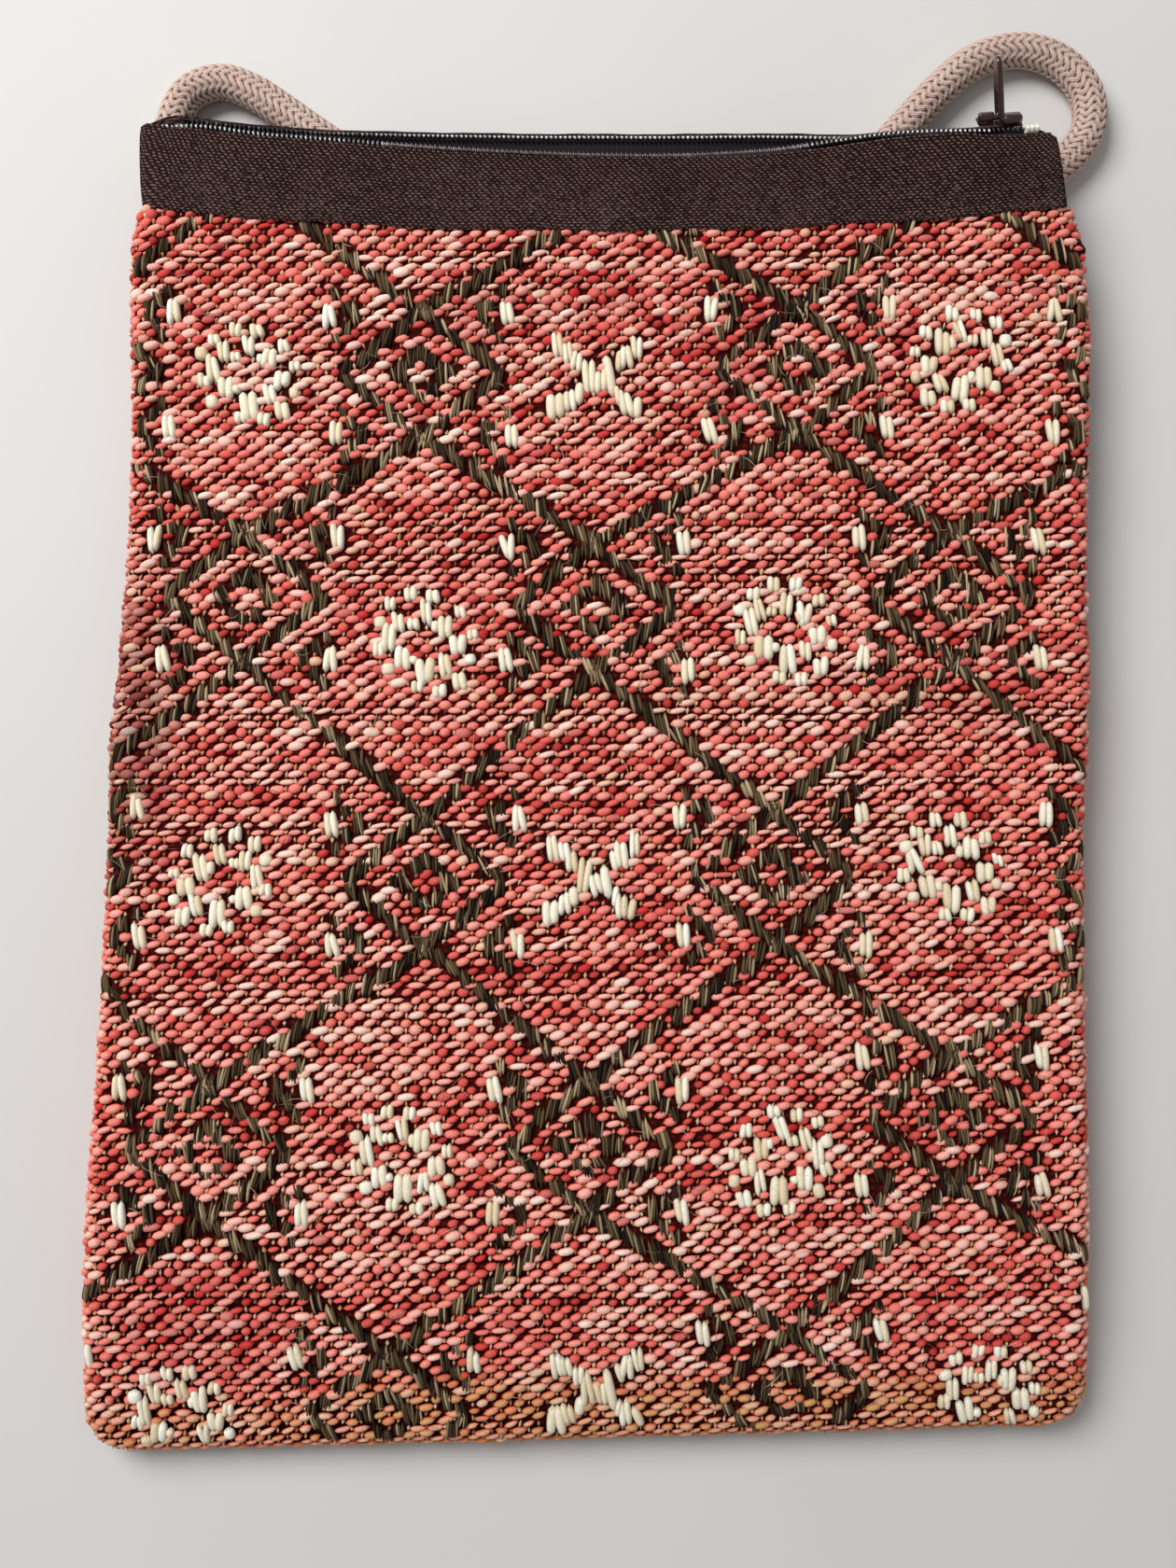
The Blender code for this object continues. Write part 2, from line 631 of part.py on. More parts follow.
def make_strap(material):
    radius = STRAP_DIAMETER / 2
    route = [Vector((x * MM, MOUTH_EDGE_Y + y * MM, radius)) for x, y in STRAP_ROUTE]
    points = evenly_spaced(smooth_route(route), STRAP_POINT_SPACING)
    curve = bpy.data.curves.new("rope_strap", "CURVE")
    curve.dimensions = "3D"
    curve.bevel_depth = radius
    curve.bevel_resolution = 2
    curve.use_fill_caps = True
    spline = curve.splines.new("POLY")
    spline.points.add(len(points) - 1)
    for point, place in zip(spline.points, points):
        point.co = (*place, 1)
    curve.materials.append(material)
    strap = bpy.data.objects.new("rope_strap", curve)
    bpy.context.scene.collection.objects.link(strap)
    return strap


# Inlaid pattern: flat shapes that lie on the front of the pouch

def lay_on_front(name, bm, material):
    """Trim a flat drawing to the front face, give it thickness and set it in place."""
    margin = 1.0 * MM
    low_y = POUCH_HEM_Y + HEM_FOLD_DEPTH
    high_y = MOUTH_EDGE_Y + BAND_OVERHANG - BAND_WIDTH - margin

    def cut(point, normal, clear):
        geometry = bm.verts[:] + bm.edges[:] + bm.faces[:]
        bmesh.ops.bisect_plane(bm, geom=geometry, dist=0.001 * MM, plane_co=point,
                               plane_no=normal, clear_outer=clear)

    cut((0, high_y, 0), (0, 1, 0), True)
    cut((0, low_y + margin, 0), (HEM_SLOPE, -1, 0), True)
    for side in (-1, 1):
        top = Vector((side_x(high_y, side) - side * SIDE_ROUND_DEPTH, high_y, 0))
        low = Vector((side_x(low_y, side) - side * SIDE_ROUND_DEPTH, low_y, 0))
        along = top - low
        cut(low, (side * along.y, -side * along.x, 0), True)
    for crease, _ in front_knots():
        cut((0, crease, 0), (0, 1, 0), False)
    if not bm.faces:
        bm.free()
        return None
    raised = bmesh.ops.extrude_face_region(bm, geom=bm.faces[:])
    moved = [item for item in raised["geom"] if isinstance(item, bmesh.types.BMVert)]
    bmesh.ops.translate(bm, verts=moved, vec=(0, 0, BROCADE_THICKNESS))
    for vertex in bm.verts:
        vertex.co.z += front_z(vertex.co.y) + GAP
    return new_object(name, bm, material)


def stroke(bm, points, edges, width):
    """Flat strips of one width along the edges of a line drawing, mitred where they meet."""
    spokes = {key: [] for key in points}
    for first, second in edges:
        spokes[first].append(second)
        spokes[second].append(first)
    corners = {}
    for key, others in spokes.items():
        here = points[key]
        others.sort(key=lambda other: math.atan2(*(points[other] - here).yx))
        for index, other in enumerate(others):
            after = others[(index + 1) % len(others)]
            way = (points[other] - here).normalized()
            left = Vector((-way.y, way.x)) * width / 2
            if len(others) == 1:
                corners[key, other] = (here + left, here - left)
                break
            next_way = (points[after] - here).normalized()
            next_right = Vector((next_way.y, -next_way.x)) * width / 2
            blend = left + next_right
            reach = blend * (width / 2) ** 2 / max(blend.dot(left), 1e-12)
            corners[key, other, after] = bm.verts.new((*(here + reach), 0))
    middles = {key: bm.verts.new((*place, 0)) for key, place in points.items()}
    for first, second in edges:
        outline = []
        for key, other in ((first, second), (second, first)):
            others = spokes[key]
            if len(others) == 1:
                left, right = corners[key, other]
                outline.append([bm.verts.new((*right, 0)), middles[key], bm.verts.new((*left, 0))])
                continue
            index = others.index(other)
            before = others[index - 1]
            after = others[(index + 1) % len(others)]
            outline.append([corners[key, before, other], middles[key], corners[key, other, after]])
        bm.faces.new(outline[0] + outline[1])


def on_cloth(place):
    """Turn a place given in shares of the cloth into X and Y."""
    across, up = place
    return Vector((across * POUCH_HEM_WIDTH, POUCH_HEM_Y + up * POUCH_LENGTH))


def diamond_points(name, centre, half_width, half_height):
    x, y = centre
    return {
        (name, "top"): Vector((x, y + half_height)),
        (name, "right"): Vector((x + half_width, y)),
        (name, "low"): Vector((x, y - half_height)),
        (name, "left"): Vector((x - half_width, y)),
    }


def ring_edges(name):
    corners = ("top", "right", "low", "left")
    return [((name, corners[step - 1]), (name, corners[step])) for step in range(4)]


def make_lattice(material):
    """The outer lines of all diamonds and the arms that join them, as one net."""
    points = {}
    edges = []
    for place, centre in DIAMONDS.items():
        points.update(diamond_points(place, on_cloth(centre), DIAMOND_HALF_WIDTH,
                                     DIAMOND_HALF_HEIGHT))
        edges += ring_edges(place)
    for row, column in DIAMONDS:
        for side in (-1, 1):
            below = (row + 1, column + side)
            above = (row - 1, column + side)
            if below in DIAMONDS:
                edges.append((((row, column), "low"), (below, "top")))
            elif row < 4:
                end = ((row, column), "low", side)
                start = points[(row, column), "low"]
                points[end] = start + Vector((side * ARM_REACH, -ARM_REACH * ARM_SLOPE))
                edges.append((((row, column), "low"), end))
            if above not in DIAMONDS:
                end = ((row, column), "top", side)
                start = points[(row, column), "top"]
                points[end] = start + Vector((side * ARM_REACH, ARM_REACH * ARM_SLOPE))
                edges.append((((row, column), "top"), end))
    bm = bmesh.new()
    stroke(bm, points, edges, LINE_WIDTH)
    return lay_on_front("brocade_lattice", bm, material)


def make_rings(material):
    for number, centre in enumerate(DIAMONDS.values(), 1):
        points = diamond_points("ring", on_cloth(centre), RING_HALF_WIDTH, RING_HALF_HEIGHT)
        bm = bmesh.new()
        stroke(bm, points, ring_edges("ring"), RING_WIDTH)
        lay_on_front(f"diamond_ring_{number}", bm, material)


def make_rosettes(material):
    """Ring of stitches with a scalloped edge round an open centre."""
    for number, centre in enumerate(ROSETTES, 1):
        x, y = on_cloth(centre)
        bm = bmesh.new()
        count = 2 * ROSETTE_LOBES
        rings = []
        for size in (ROSETTE_HOLE, 1.0):
            ring = []
            for step in range(count):
                angle = 2 * math.pi * step / count
                reach = size * (0.84 if step % 2 and size == 1.0 else 1.0)
                across = ROSETTE_HALF_WIDTH * reach * math.cos(angle)
                along = ROSETTE_HALF_HEIGHT * reach * math.sin(angle)
                ring.append(bm.verts.new((x + across, y + along, 0)))
            rings.append(ring)
        bridge(bm, rings)
        lay_on_front(f"rosette_{number}", bm, material)


def make_crosses(material):
    for number, place in enumerate(CROSSES, 1):
        bm = bmesh.new()
        centre = on_cloth(place)
        points = {"centre": centre}
        for side in (-1, 1):
            for end in (-1, 1):
                tip = Vector((side * CROSS_HALF_WIDTH, end * CROSS_HALF_HEIGHT)) * 0.85
                points[side, end] = centre + tip
        edges = [("centre", key) for key in points if key != "centre"]
        stroke(bm, points, edges, CROSS_ARM)
        lay_on_front(f"cross_{number}", bm, material)


def clear_scene():
    for thing in list(bpy.data.objects):
        bpy.data.objects.remove(thing, do_unlink=True)


def build():
    clear_scene()
    wool = make_material("red_wool", srgb(175, 92, 84), 0.95)
    twill = make_material("brown_twill", srgb(63, 45, 43), 0.85)
    tape = make_material("zip_tape", srgb(38, 32, 40), 0.85)
    nylon = make_material("black_nylon", srgb(24, 22, 26), 0.35)
    enamel = make_material("brown_enamel", srgb(48, 22, 24), 0.3, 0.2)
    clear_plastic = make_material("pale_plastic", srgb(225, 222, 214), 0.4)
    rope = make_material("pink_rope", srgb(192, 162, 148), 0.9)
    dark = make_material("dark_wool", srgb(70, 55, 40), 0.95)
    cream = make_material("cream_wool", srgb(240, 228, 195), 0.95)

    make_pouch(wool)
    make_band(twill)
    make_tape("zip_tape_front", -1, tape)
    make_tape("zip_tape_back", 1, tape)
    make_coil("zip_coil_front", -1, nylon)
    make_coil("zip_coil_back", 1, nylon)
    make_stop("zip_stop_left", COIL_LEFT - GAP - STOP_LENGTH, nylon)
    make_stop("zip_stop_right", COIL_RIGHT + GAP, clear_plastic)
    axis = new_empty("slider_axis", (MOUTH_MIDDLE_X, MOUTH_CENTRE_Y, 0))
    bpy.context.view_layer.update()
    slider = make_slider(enamel, axis)
    bpy.context.view_layer.update()
    make_pull(enamel, slider)
    make_strap(rope)
    make_lattice(dark)
    make_rings(dark)
    make_rosettes(cream)
    make_crosses(cream)


build()
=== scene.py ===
# %% [markdown]
# # A flat kilim shoulder bag
#
# The bag is one hand-woven wool cloth, folded at the bottom and sewn up at both
# sides. A dark twill strip faces its mouth, a nylon coil zip runs inside the mouth,
# and a braided rope is the strap. It lies on its back on a pale floor, and the
# camera looks straight down on it.
#
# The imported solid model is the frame: it gives every size and place. The scene
# puts the yarns, ribs, coils and finishes on it.

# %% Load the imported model
import json
import math

import bmesh
import bpy
import numpy as np
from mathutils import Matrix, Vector
from mathutils.bvhtree import BVHTree


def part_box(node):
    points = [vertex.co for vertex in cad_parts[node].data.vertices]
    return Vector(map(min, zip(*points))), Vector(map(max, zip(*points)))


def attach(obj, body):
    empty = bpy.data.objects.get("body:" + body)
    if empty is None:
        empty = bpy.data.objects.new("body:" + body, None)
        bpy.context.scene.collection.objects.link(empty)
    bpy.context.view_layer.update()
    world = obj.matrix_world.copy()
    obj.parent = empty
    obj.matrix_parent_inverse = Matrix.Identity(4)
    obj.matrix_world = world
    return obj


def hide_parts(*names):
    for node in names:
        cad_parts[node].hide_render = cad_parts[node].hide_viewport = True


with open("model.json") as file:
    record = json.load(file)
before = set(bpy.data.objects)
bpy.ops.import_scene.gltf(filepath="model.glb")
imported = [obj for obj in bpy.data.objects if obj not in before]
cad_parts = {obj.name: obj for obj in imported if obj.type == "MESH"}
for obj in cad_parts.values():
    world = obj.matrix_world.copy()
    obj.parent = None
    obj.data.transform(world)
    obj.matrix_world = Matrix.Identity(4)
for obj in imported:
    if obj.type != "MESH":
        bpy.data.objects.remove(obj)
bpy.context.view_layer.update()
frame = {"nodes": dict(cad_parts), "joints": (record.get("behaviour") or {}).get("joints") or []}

MM = 0.001
nodes = frame["nodes"]

# %% [markdown]
# ## Camera
#
# The photograph was taken by hand from straight above, with a slight forward tilt.
# A camera at the same height, with the same opening angle, gives the bag the same
# outline in the picture. The lens is given for a sensor that is 36 mm on the long
# side of the picture.

# %% Camera
CAMERA_PLACE = (-1.75 * MM, -24.22 * MM, 431.6 * MM)
CAMERA_TILT = math.radians(2.5)
SENSOR_LONG_SIDE = 36
LENS = 33.33

camera_data = bpy.data.cameras.new("camera")
camera_data.sensor_fit = "VERTICAL"
camera_data.sensor_height = SENSOR_LONG_SIDE
camera_data.lens = LENS
camera_data.clip_start = 0.01
camera = bpy.data.objects.new("camera", camera_data)
camera.location = CAMERA_PLACE
camera.rotation_euler = (CAMERA_TILT, 0, 0)
scene = bpy.context.scene
scene.collection.objects.link(camera)
scene.camera = camera
print("camera height:", round(camera.location.z / MM), "mm")

# %% [markdown]
# ## Light and floor
#
# The light of the photograph is soft and comes from above, a little from the upper
# left, so every yarn has a bright crown and a dark foot. One wide lamp does that,
# helped by a painted shade at the foot of each yarn, and a weak pale world fills
# the shadows. Together they light a level white surface to about its own colour.

# %% Light
SKY_LIGHT = 0.30
LAMP_POWER = 21.0
LAMP_SIZE = 0.9
LAMP_PLACE = Vector((-0.70, 0.70, 1.10))
BAG_MIDDLE = Vector((0, 0, 0.02))

scene.view_settings.view_transform = "Standard"
scene.world = bpy.data.worlds.new("studio")
scene.world.use_nodes = True
sky = scene.world.node_tree.nodes["Background"]
sky.inputs["Color"].default_value = (1, 1, 1, 1)
sky.inputs["Strength"].default_value = SKY_LIGHT

lamp_data = bpy.data.lights.new("soft_lamp", "AREA")
lamp_data.shape = "DISK"
lamp_data.size = LAMP_SIZE
lamp_data.energy = LAMP_POWER
lamp = bpy.data.objects.new("soft_lamp", lamp_data)
lamp.location = LAMP_PLACE
lamp.rotation_euler = (BAG_MIDDLE - LAMP_PLACE).to_track_quat("-Z", "Y").to_euler()
scene.collection.objects.link(lamp)
print("lamp distance:", round((LAMP_PLACE - BAG_MIDDLE).length, 2), "m")

# %% [markdown]
# ## Finishes from expressions
#
# A woven finish is mostly arithmetic on coordinates: stripes are a sine, a plait is
# a fraction of a phase. A small class wraps a node's output and overloads Python's
# operators, so such arithmetic reads as a formula and still becomes Math nodes.

# %% Sockets with operators
class Wire:
    """A node's output, on which arithmetic adds Math nodes."""

    def __init__(self, finish, socket):
        self.finish = finish
        self.socket = socket

    def maths(self, operation, *values):
        return self.finish.node("ShaderNodeMath", {"operation": operation}, dict(enumerate(values)))

    def __add__(self, other):
        return self.maths("ADD", self, other)

    def __radd__(self, other):
        return self.maths("ADD", other, self)

    def __sub__(self, other):
        return self.maths("SUBTRACT", self, other)

    def __rsub__(self, other):
        return self.maths("SUBTRACT", other, self)

    def __mul__(self, other):
        return self.maths("MULTIPLY", self, other)

    def __rmul__(self, other):
        return self.maths("MULTIPLY", other, self)

    def wave(self):
        """A smooth wave from 0 to 1 that repeats after each whole number."""
        return self.maths("SINE", self * (2 * math.pi)) * 0.5 + 0.5

    def fraction(self):
        return self.maths("FRACT", self)

    def whole(self):
        return self.maths("FLOOR", self)

    def part_of(self, low, high):
        """0 at low and 1 at high, and flat outside them."""
        settings = {"interpolation_type": "SMOOTHSTEP"}
        inputs = {"Value": self, "From Min": low, "From Max": high}
        return self.finish.node("ShaderNodeMapRange", settings, inputs)


class Finish:
    """A material under construction."""

    def __init__(self, name, roughness, sheen=0.0, coat=0.0, specular=0.5):
        self.material = bpy.data.materials.new(name)
        self.material.use_nodes = True
        self.tree = self.material.node_tree
        self.shader = self.tree.nodes["Principled BSDF"]
        inputs = self.shader.inputs
        inputs["Roughness"].default_value = roughness
        inputs["Sheen Weight"].default_value = sheen
        inputs["Coat Weight"].default_value = coat
        inputs["Specular IOR Level"].default_value = specular

    def node(self, kind, settings=None, inputs=None, output=0):
        made = self.tree.nodes.new(kind)
        for name, value in (settings or {}).items():
            setattr(made, name, value)
        for name, value in (inputs or {}).items():
            if isinstance(value, Wire):
                self.tree.links.new(value.socket, made.inputs[name])
            else:
                made.inputs[name].default_value = value
        return Wire(self, made.outputs[output])

    def object_point(self):
        return self.node("ShaderNodeTexCoord", output="Object")

    def parts_of(self, point, count):
        return [self.node("ShaderNodeSeparateXYZ", None, {0: point}, axis) for axis in range(count)]

    def place(self):
        """Object coordinates as three values, in metres."""
        return self.parts_of(self.object_point(), 3)

    def map_place(self, name):
        """The two coordinates of a UV map."""
        return self.parts_of(self.node("ShaderNodeUVMap", {"uv_map": name}), 2)

    def attribute(self, name, output="Color"):
        return self.node("ShaderNodeAttribute", {"attribute_name": name}, output=output)

    def mix(self, factor, first, second, how="MIX"):
        """A blend of two colours, each a wire or a painted shade."""
        first, second = [shade if isinstance(shade, Wire) else paint(*shade) for shade in (first, second)]
        settings = {"data_type": "RGBA", "blend_type": how}
        return self.node("ShaderNodeMix", settings, {0: factor, 6: first, 7: second}, 2)

    def noise(self, scale, detail):
        """Cloudy noise in the object's own space. scale is in patches per metre."""
        inputs = {"Vector": self.object_point(), "Scale": scale, "Detail": detail}
        return self.node("ShaderNodeTexNoise", None, inputs)

    def bump(self, height, depth):
        """Raises the surface by height, from 0 to 1, times depth in metres."""
        inputs = {"Strength": 1.0, "Distance": depth, "Height": height}
        self.feed("Normal", self.node("ShaderNodeBump", None, inputs))

    def feed(self, socket, wire):
        self.tree.links.new(wire.socket, self.shader.inputs[socket])

    def colour(self, *blend):
        self.feed("Base Color", self.mix(*blend))


def paint(red, green, blue):
    """A colour as it shows on a screen, from 0 to 255, as Blender's linear colour."""
    shown = np.array([red, green, blue]) / 255
    linear = np.where(shown <= 0.04045, shown / 12.92, ((shown + 0.055) / 1.055) ** 2.4)
    return (*linear.tolist(), 1.0)


print("white paints as", paint(255, 255, 255))

# %% Helpers for objects
def put_in_scene(name, mesh, body, slot, finish, *stands_for):
    """Adds a finished piece, in the place of the solid nodes that it stands for."""
    piece = bpy.data.objects.new(name, mesh)
    scene.collection.objects.link(piece)
    mesh.materials.append(finish.material)
    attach(piece, body)
    if stands_for:
        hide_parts(*stands_for)
    print(name, len(mesh.polygons), "faces")
    return piece


def mesh_from(bm, name, smooth=True):
    mesh = bpy.data.meshes.new(name)
    for face in bm.faces:
        face.smooth = smooth
    bm.to_mesh(mesh)
    bm.free()
    return mesh


def points_of(mesh):
    """A mesh's vertices, as rows of x, y and z."""
    points = np.empty(len(mesh.vertices) * 3)
    mesh.vertices.foreach_get("co", points)
    return points.reshape(-1, 3)


def write_map(mesh, name, places):
    """Adds a UV map from one row of places for each vertex."""
    corners = np.empty(len(mesh.loops), dtype=np.int32)
    mesh.loops.foreach_get("vertex_index", corners)
    layer = mesh.uv_layers.new(name=name)
    layer.data.foreach_set("uv", places[corners].astype(np.float32).ravel())


def write_values(mesh, name, values):
    layer = mesh.attributes.new(name, "FLOAT", "POINT")
    layer.data.foreach_set("value", values.astype(np.float32))


def unit(vectors):
    """The same directions, each with length 1."""
    return vectors / np.maximum(np.linalg.norm(vectors, axis=1), 1e-9)[:, None]


def run_of(line):
    """Length along a line up to each of its points."""
    return np.concatenate([[0], np.cumsum(np.linalg.norm(np.diff(line, axis=0), axis=1))])


def rows_at(places, known, rows):
    """Rows of numbers at places between the known ones."""
    return np.stack([np.interp(places, known, column) for column in rows.T], axis=1)


def rise(value, start, reach):
    """0 up to start, then rising evenly to 1 over the reach."""
    return np.clip((value - start) / reach, 0, 1)


def quarter_round(share):
    """Height of a quarter circle, steep at share 0 and level at share 1."""
    return np.sqrt(1 - (1 - share) ** 2)


def tube_grid(name, rings, sides):
    """A grid to be bent into a tube, with the column and ring of each vertex."""
    bm = bmesh.new()
    bmesh.ops.create_grid(bm, x_segments=sides, y_segments=rings - 1, size=0.5)
    mesh = mesh_from(bm, name)
    share = points_of(mesh)[:, :2] + 0.5
    column, ring = np.rint(share * (sides, rings - 1)).astype(int).T
    return mesh, column, ring


def close_tube(mesh, merge):
    """Joins a bent grid along its seam and fills both its ends."""
    bm = bmesh.new()
    bm.from_mesh(mesh)
    bmesh.ops.remove_doubles(bm, verts=bm.verts, dist=merge)
    bmesh.ops.holes_fill(bm, edges=[edge for edge in bm.edges if edge.is_boundary], sides=0)
    bmesh.ops.recalc_face_normals(bm, faces=bm.faces)
    bm.to_mesh(mesh)
    bm.free()


# %% Floor
floor_finish = Finish("pale_floor", roughness=0.9)
floor_cloud = floor_finish.noise(9.0, 4.0)
floor_finish.colour(floor_cloud, (216, 214, 211), (224, 222, 219))
bm = bmesh.new()
bmesh.ops.create_grid(bm, x_segments=1, y_segments=1, size=2.5)
floor_mesh = mesh_from(bm, "floor", smooth=False)
floor_mesh.materials.append(floor_finish.material)
floor = bpy.data.objects.new("floor", floor_mesh)
scene.collection.objects.link(floor)
print("floor is at height", floor.location.z)

# %% [markdown]
# ## Strap
#
# The strap is a thick braided cotton rope that rises over each top corner in a loose
# loop and lies in two lazy turns under the bag. A rope could be a curve with a
# round bevel, but then its braid would be paint. Here a tube is swept along the
# route and its surface is pushed out where a strand passes, so the outline is
# bumpy too. The strands run as twelve columns of slanting legs, like knitting.

# %% Route of the strap
STRAP_ROUTE = [
    (-124.5, 169.4), (-126, 181.4), (-126.2, 192.4), (-121.5, 201.9), (-112, 205.4),
    (-102.5, 202.4), (-93.5, 196.6), (-82, 188.4), (-60, 174.4), (-30, 164.9),
    (5, 161.9), (38, 159.4), (56, 146.4), (58.5, 128.4), (44, 114.9), (15, 111.4),
    (-25, 113.9), (-65, 116.4), (-93, 106.4), (-99, 86.4), (-84, 71.9), (-52, 68.4),
    (-10, 72.4), (35, 70.9), (72, 75.4), (93, 93.4), (98, 119.4), (90, 143.4),
    (82, 163.4), (84.5, 180.4), (96, 194.9), (104.5, 203.9), (115, 211.9),
    (127.5, 215.1), (139.5, 211.6), (147.3, 202.9), (148.3, 191.9), (143, 182.9),
    (134.5, 175.9), (127, 169.9),
]
STRAP_DIAMETER = 10.5 * MM
STRAP_STEP = 0.43 * MM


def smooth_route(points, pieces):
    """A smooth line through given points, as a centripetal spline."""
    points = [Vector(point) for point in points]
    points = [points[0] * 2 - points[1], *points, points[-1] * 2 - points[-2]]
    line = []
    for a, b, c, d in zip(points, points[1:], points[2:], points[3:]):
        t1 = (b - a).length ** 0.5
        t2 = t1 + (c - b).length ** 0.5
        t3 = t2 + (d - c).length ** 0.5
        for step in range(pieces):
            t = t1 + (t2 - t1) * step / pieces
            ab = a.lerp(b, t / t1)
            bc = b.lerp(c, (t - t1) / (t2 - t1))
            cd = c.lerp(d, (t - t2) / (t3 - t2))
            abc = ab.lerp(bc, t / t2)
            bcd = bc.lerp(cd, (t - t1) / (t3 - t1))
            line.append(abc.lerp(bcd, (t - t1) / (t2 - t1)))
    line.append(points[-2])
    return np.array(line)


def evenly_spaced(line, step):
    """The same line with points at even distances, and its length."""
    run = run_of(line)
    return rows_at(np.linspace(0, run[-1], round(run[-1] / step) + 1), run, line), run[-1]


flat_route = smooth_route([(x * MM, y * MM) for x, y in STRAP_ROUTE], 24)
flat_route, strap_length = evenly_spaced(flat_route, STRAP_STEP)
strap_line = np.column_stack([flat_route, np.full(len(flat_route), STRAP_DIAMETER / 2)])
print("strap length:", round(strap_length, 3), "m in", len(strap_line), "rings")

# %% Braided tube
LEG_COLUMNS = 12
YARNS_PER_LEG = 4.0
LEG_PITCH = 2.6 * MM
LEG_SLOPE = math.tan(math.radians(47))
LEG_WIDTH = math.pi * STRAP_DIAMETER / LEG_COLUMNS
BRAID_DEPTH = 0.95 * MM
TUBE_SIDES = 48


def leg_height(turn, along):
    """Height of the braid from 0 to 1 at a share of a turn and a place along the rope."""
    column = turn * LEG_COLUMNS
    across = column % 1 - 0.5
    lean = np.where(np.floor(column) % 2 == 0, 1, -1)
    phase = along / LEG_PITCH + lean * across * LEG_WIDTH * LEG_SLOPE / LEG_PITCH
    ridge = np.abs(np.cos(math.pi * phase)) ** 0.45
    return ridge * np.cos(math.pi * across) ** 0.3


turns = (np.arange(TUBE_SIDES) + 0.5) / TUBE_SIDES
travel = np.arange(len(strap_line)) * STRAP_STEP
braid_heights = leg_height(turns[None, :], travel[:, None])
print("braid height:", braid_heights.min().round(2), "to", braid_heights.max().round(2))

# %% Build the strap
def swept_tube(name, line, heights, base_radius, depth):
    """A tube whose rings follow a level line, with a braid pushed out of its wall."""
    rings, sides = heights.shape
    mesh, column, ring = tube_grid(name, rings, sides)
    height = heights[ring, column % sides]
    side = np.cross(unit(np.gradient(line, axis=0)), (0, 0, 1.0))
    angle = -(column + 0.5) / sides * 2 * math.pi
    reach = base_radius - depth + depth * height
    outward = side[ring] * np.cos(angle)[:, None] + np.array([0, 0, 1.0]) * np.sin(angle)[:, None]
    mesh.vertices.foreach_set("co", (line[ring] + outward * reach[:, None]).ravel())
    write_values(mesh, "crown", height)
    write_map(mesh, "braid", np.column_stack([column + 0.5, ring]) * (1 / sides, STRAP_STEP / LEG_PITCH))
    close_tube(mesh, 0.01 * MM)
    return mesh


def rope_finish():
    """Cotton braid: slanting legs of four or five fine yarns each."""
    finish = Finish("braided_cotton", roughness=0.92, sheen=0.1, specular=0.2)
    turn, along = finish.map_place("braid")
    column = turn * LEG_COLUMNS
    lean = 1 - 2 * (column.whole() * 0.5).fraction() * 2
    across = column.fraction() - 0.5
    phase = along + lean * across * (LEG_WIDTH * LEG_SLOPE / LEG_PITCH)
    yarns = (phase * YARNS_PER_LEG).wave()
    crown = finish.attribute("crown", "Fac")
    fuzz = finish.noise(2600, 3)
    tint = finish.noise(120, 2)
    # painted shade: the colour darkens from the crowns of the legs into the grooves between them and
    # between the fine yarns
    deep = finish.mix(tint, (84, 52, 42), (108, 72, 60))
    bright = finish.mix(tint, (240, 204, 188), (255, 231, 217))
    shade = crown.part_of(0.15, 0.9) * (0.6 + 0.4 * yarns) + (fuzz - 0.5) * 0.6
    finish.colour(shade.part_of(0, 1), deep, bright)
    finish.bump(yarns * 0.8 + fuzz * 0.6, 0.2 * MM)
    return finish


strap_mesh = swept_tube("braided_rope", strap_line, braid_heights, STRAP_DIAMETER / 2, BRAID_DEPTH)
strap = put_in_scene("braided_rope", strap_mesh, "bag", "pink_rope", rope_finish(), "rope_strap")

# %% [markdown]
# ## Shape of the cloth
#
# Every yarn lies on the same surface: a nearly flat front that falls to the folded
# hem, round sides, and a back that rests on the floor and climbs over the strap.
# Rays cast at the solid pouch measure that surface once. A weft row then is a line
# of points across it, and rows run down the front, round the fold and up the back.

# %% Measure the pouch
SIDE_ROUND = 6 * MM
FOLD_DEPTH = 8 * MM
LOW_BULGE = 1.1 * MM
CORNER_ROUND = 13 * MM
RIDGE_PITCH = 4.1 * MM
RAY_LEVEL = 6 * MM
RAY_APART = 0.2
CLOTH_TOP_Y = 168 * MM
YARN_PAST_HEM = 0.7 * MM

pouch_rays = BVHTree.FromObject(nodes["kilim_pouch"], bpy.context.evaluated_depsgraph_get())


def ray(start, way, axis):
    """The first place where a ray meets the pouch, along one axis."""
    return pouch_rays.ray_cast(Vector(start), Vector(way))[0][axis]


hem_left, hem_right = (ray((x, -0.4, RAY_LEVEL), (0, 1, 0), 1) for x in (-RAY_APART / 2, RAY_APART / 2))
HEM_LEAN = (hem_right - hem_left) / RAY_APART
HEM_Y = (hem_left + hem_right) / 2 + YARN_PAST_HEM
FOLD_TOP_Y = HEM_Y + FOLD_DEPTH
stations = np.arange(FOLD_TOP_Y, CLOTH_TOP_Y, 6 * MM)
within_ridge = np.linspace(-RIDGE_PITCH / 2, RIDGE_PITCH / 2, 7)
top_line = np.array([max(ray((0, y + d, 0.1), (0, 0, -1), 2) for d in within_ridge) for y in stations])
low_line = np.array([min(ray((0, y + d, -0.1), (0, 0, 1), 2) for d in within_ridge) for y in stations])
middles = (top_line + low_line) / 2
clear_of_corner = stations > HEM_Y + CORNER_ROUND
side_stations = stations[clear_of_corner]
left_line, right_line = (
    np.array([ray((-0.3 * way, y, z), (way, 0, 0), 0) for y, z in zip(stations, middles)])[clear_of_corner]
    for way in (1, -1)
)
print("hem at", round(HEM_Y / MM, 1), "lean", round(HEM_LEAN, 3), "front", round(top_line[-1] / MM, 2))

